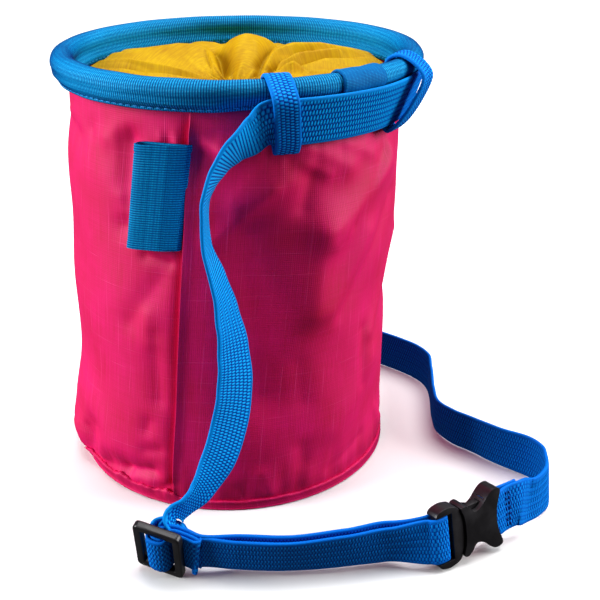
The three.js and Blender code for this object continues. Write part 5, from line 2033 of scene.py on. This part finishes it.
@dataclass
class Studio:
    """Camera, lights and floor."""

    # Millimetres
    camera_place: tuple = (28.46, -393.43, 237.87)
    camera_target: tuple = (28.5, 0.0, 60.6)
    lens: float = 61.4
    sensor: float = 36.0
    # Name, place and size in metres, and watts
    lamps: tuple = (
        ("lamp_left", (-1.3, -0.34, 0.55), (0.7, 1.0), 26),
        ("lamp_right", (1.3, -0.12, 0.6), (0.7, 1.0), 20),
    )
    lamp_target: tuple = (0.03, 0, 0.08)
    sky_power: float = 2.8
    sky_spread: float = 50
    sky_turn: tuple = (-14, 4, 0)
    air_power: float = 0.13
    floor_reach: float = 60

    @staticmethod
    def aim(made: bpy.types.Object, place: Vector, target: Vector) -> None:
        """Stands a camera or lamp at a place and turns it to a target."""
        made.location = place
        made.rotation_euler = (target - place).to_track_quat("-Z", "Y").to_euler()

    def camera(self) -> None:
        """Sets the camera at the photograph's viewing angle."""
        data = bpy.data.cameras.new("studio_camera")
        data.lens, data.sensor_width, data.sensor_fit = self.lens, self.sensor, "AUTO"
        data.clip_start, data.clip_end = 0.01, 50
        made = add_object(data)
        self.aim(made, Vector(self.camera_place) * MM, Vector(self.camera_target) * MM)
        bpy.context.scene.camera = made

    def lamp(self, name: str, place: Sequence[float], size: Sequence[float], power: float) -> None:
        """Adds a soft box that faces the bag.

        Args:
            name: The lamp's name.
            place: Its place in metres.
            size: Its width and height in metres.
            power: Watts.
        """
        data = bpy.data.lights.new(name, "AREA")
        data.shape, data.size, data.size_y = "RECTANGLE", size[0], size[1]
        data.energy = power
        self.aim(add_object(data), Vector(place), Vector(self.lamp_target))

    def build(self, paper: bpy.types.Material) -> None:
        """Builds the studio."""
        self.camera()
        for lamp in self.lamps:
            self.lamp(*lamp)
        sky = bpy.data.lights.new("lamp_sky", "SUN")
        sky.energy, sky.angle = self.sky_power, self.sky_spread * DEG
        add_object(sky).rotation_euler = [turn * DEG for turn in self.sky_turn]
        world = bpy.data.worlds.new("studio_air")
        world.use_nodes = True
        air = world.node_tree.nodes["Background"]
        air.inputs[0].default_value = (1, 1, 1, 1)
        air.inputs[1].default_value = self.air_power
        bpy.context.scene.world = world
        view = bpy.context.scene.view_settings
        view.view_transform, view.look = "Standard", "Medium High Contrast"
        bm = bmesh.new()
        bmesh.ops.create_grid(bm, x_segments=8, y_segments=8, size=self.floor_reach)
        floor = dress(from_bmesh("studio_floor", bm), paper)
        floor.visible_diffuse = False
        floor.visible_glossy = False


# Ridge lines of the collar over the plan: x, y and rise, then the slope widths left and right
COLLAR_RIDGES = (
    (((-58, 14, 0.6), (-45, 20, 2.2), (-35, 20, 3.8), (-20, 22, 5.6), (-10, 19, 6.2)), 16.0, 14.0),
    (((-10, 19, 6.2), (-7, 12, 5.6), (-4, 2, 3.4), (-3, -4, 1.2)), 10.0, 1.5),
    (((-8, 38, -3.0), (-4, 27, -6.0), (-2, 14, -6.4), (0, 2, -3.4)), 3.0, 3.0),
    (((-55, 10, 1.0), (-38, 8, 2.4), (-18, -4, 2.6), (-3, -9, 1.2)), 3.6, 1.6),
    (((-52, 5, -0.8), (-38, 3, -1.6), (-18, -8, -1.8), (-6, -12, -0.8)), 2.2, 2.2),
    (((-28, -10, 1.0), (-14, -10, 2.2), (-4, -12, 1.2)), 2.6, 1.5),
    (((3, 26, 5.4), (7, 28, 8.4), (14, 25, 6.0)), 8.0, 20.0),
    (((22, 36, -3.0), (16, 25, -4.0), (13, 12, -3.6), (12, 0, -2.0)), 2.0, 2.0),
    (((13, -8, 1.2), (15, 5, 4.2), (19, 15, 5.6), (26, 21, 6.2)), 1.6, 3.2),
    (((16, -4, -2.2), (19, 7, -3.0), (25, 15, -2.4), (34, 18, -1.0)), 1.5, 1.5),
    (((17, -5, 1.4), (21, 4, 4.2), (28, 11, 4.8), (43, 14, 5.2)), 1.6, 3.6),
    (((19, -4, -2.2), (25, 4, -3.0), (38, 8, -2.4), (50, 10, -1.0)), 1.5, 1.6),
    (((17, -9, 2.2), (21, -3, 4.6), (26, -1, 4.6), (31, -7, 1.8)), 2.4, 2.4),
    (((28, 0, 2.0), (38, 4, 3.6), (50, 9, 2.8), (60, 14, 0.8)), 2.0, 5.0),
    (((26, 21, 6.2), (36, 20, 6.2), (46, 16, 5.0), (60, 12, 1.2)), 14.0, 4.0),
    (((-34, -28, 1.0), (-22, -32, 2.2), (-6, -28, 2.4), (2, -18, 1.2)), 4.0, 4.0),
    (((-14, -48, 1.2), (-2, -38, 2.4), (6, -26, 2.2), (9, -16, 1.0)), 4.0, 4.0),
    (((18, -50, 1.2), (18, -40, 2.6), (14, -26, 2.4)), 4.4, 4.0),
    (((42, -34, 1.2), (32, -28, 2.4), (20, -18, 2.0)), 4.0, 4.4),
    (((-20, 52, 1.2), (-8, 46, 2.0), (0, 38, 1.2)), 4.2, 4.0),
    (((30, 50, 1.2), (28, 44, 2.0), (24, 36, 1.4)), 4.2, 4.0),
)


def main() -> None:
    """Builds the studio and every piece of the bag, in order."""
    logging.basicConfig(level=logging.INFO, format="%(name)s %(message)s")
    Studio().build(FloorPaper().make())
    pink, yellow = Ripstop().make(), CollarCloth().make()
    plastic = MouldedPlastic().make()
    blue_thread = Thread("blue_thread", linear(60, 170, 232), linear(14, 92, 178)).make()
    # A darker copy of the belt's webbing for the runs on the floor and the adjuster: painted shade
    belt_shaded_cloth = Webbing(
        "belt_webbing_shaded_weave",
        deep=linear(0, 44, 150),
        lit=linear(0, 140, 236),
        column=1.5,
        face=Face.NUBS,
        split=0.35,
        shine=0.35,
        relief=0.2,
        width=BELT_WIDTH,
        thick=BELT_THICK,
    ).make()
    loop_cloth = Webbing(
        "loop_webbing_weave", face=Face.NUBS, column=1.5, width=LOOP_WIDTH, thick=LOOP_THICK
    ).make()
    rim_cloth = Webbing(
        "rim_webbing_weave",
        deep=linear(0, 40, 110),
        lit=linear(0, 164, 224),
        glint=linear(110, 220, 250),
        rib=2 * math.pi * RIM_RADIUS / RIM_RIBS,
        relief=0.3,
        shine=0.6,
    ).make()
    tape_cloth = Webbing(
        "tape_weave",
        deep=linear(0, 80, 140),
        lit=linear(0, 112, 176),
        rib=0.42,
        relief=0.06,
    ).make()
    elastic = Webbing(
        "sleeve_elastic_weave",
        deep=linear(0, 74, 136),
        lit=linear(0, 146, 200),
        glint=linear(40, 190, 225),
        rib=38 / 42,
        relief=0.16,
    ).make()
    body = BagBody()
    body.build(pink)
    RimBinding(body).build(rim_cloth, tape_cloth, blue_thread)
    Collar(body, ridges=COLLAR_RIDGES).build(yellow)
    belt = Belt()
    # A brighter copy of the same webbing for the run along the rim and down, with a stronger glint:
    # painted light
    fall_lit_cloth = Webbing(
        "belt_fall_lit_weave",
        lit=linear(0, 176, 252),
        face=Face.NUBS,
        shine=0.8,
        plain=FALL_PLAIN,
        width=BELT_WIDTH,
        thick=BELT_THICK,
    ).make()
    dark_thread = Thread("dark_thread", linear(10, 80, 176), linear(0, 40, 120)).make()
    belt.build(belt_shaded_cloth, fall_lit_cloth, dark_thread)
    BeltLoops(belt).build(loop_cloth)
    BrushSleeve().build(elastic, blue_thread)
    Slider().build(plastic)
    Buckle().build(plastic)


if __name__ == "__main__":
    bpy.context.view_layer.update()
    main()
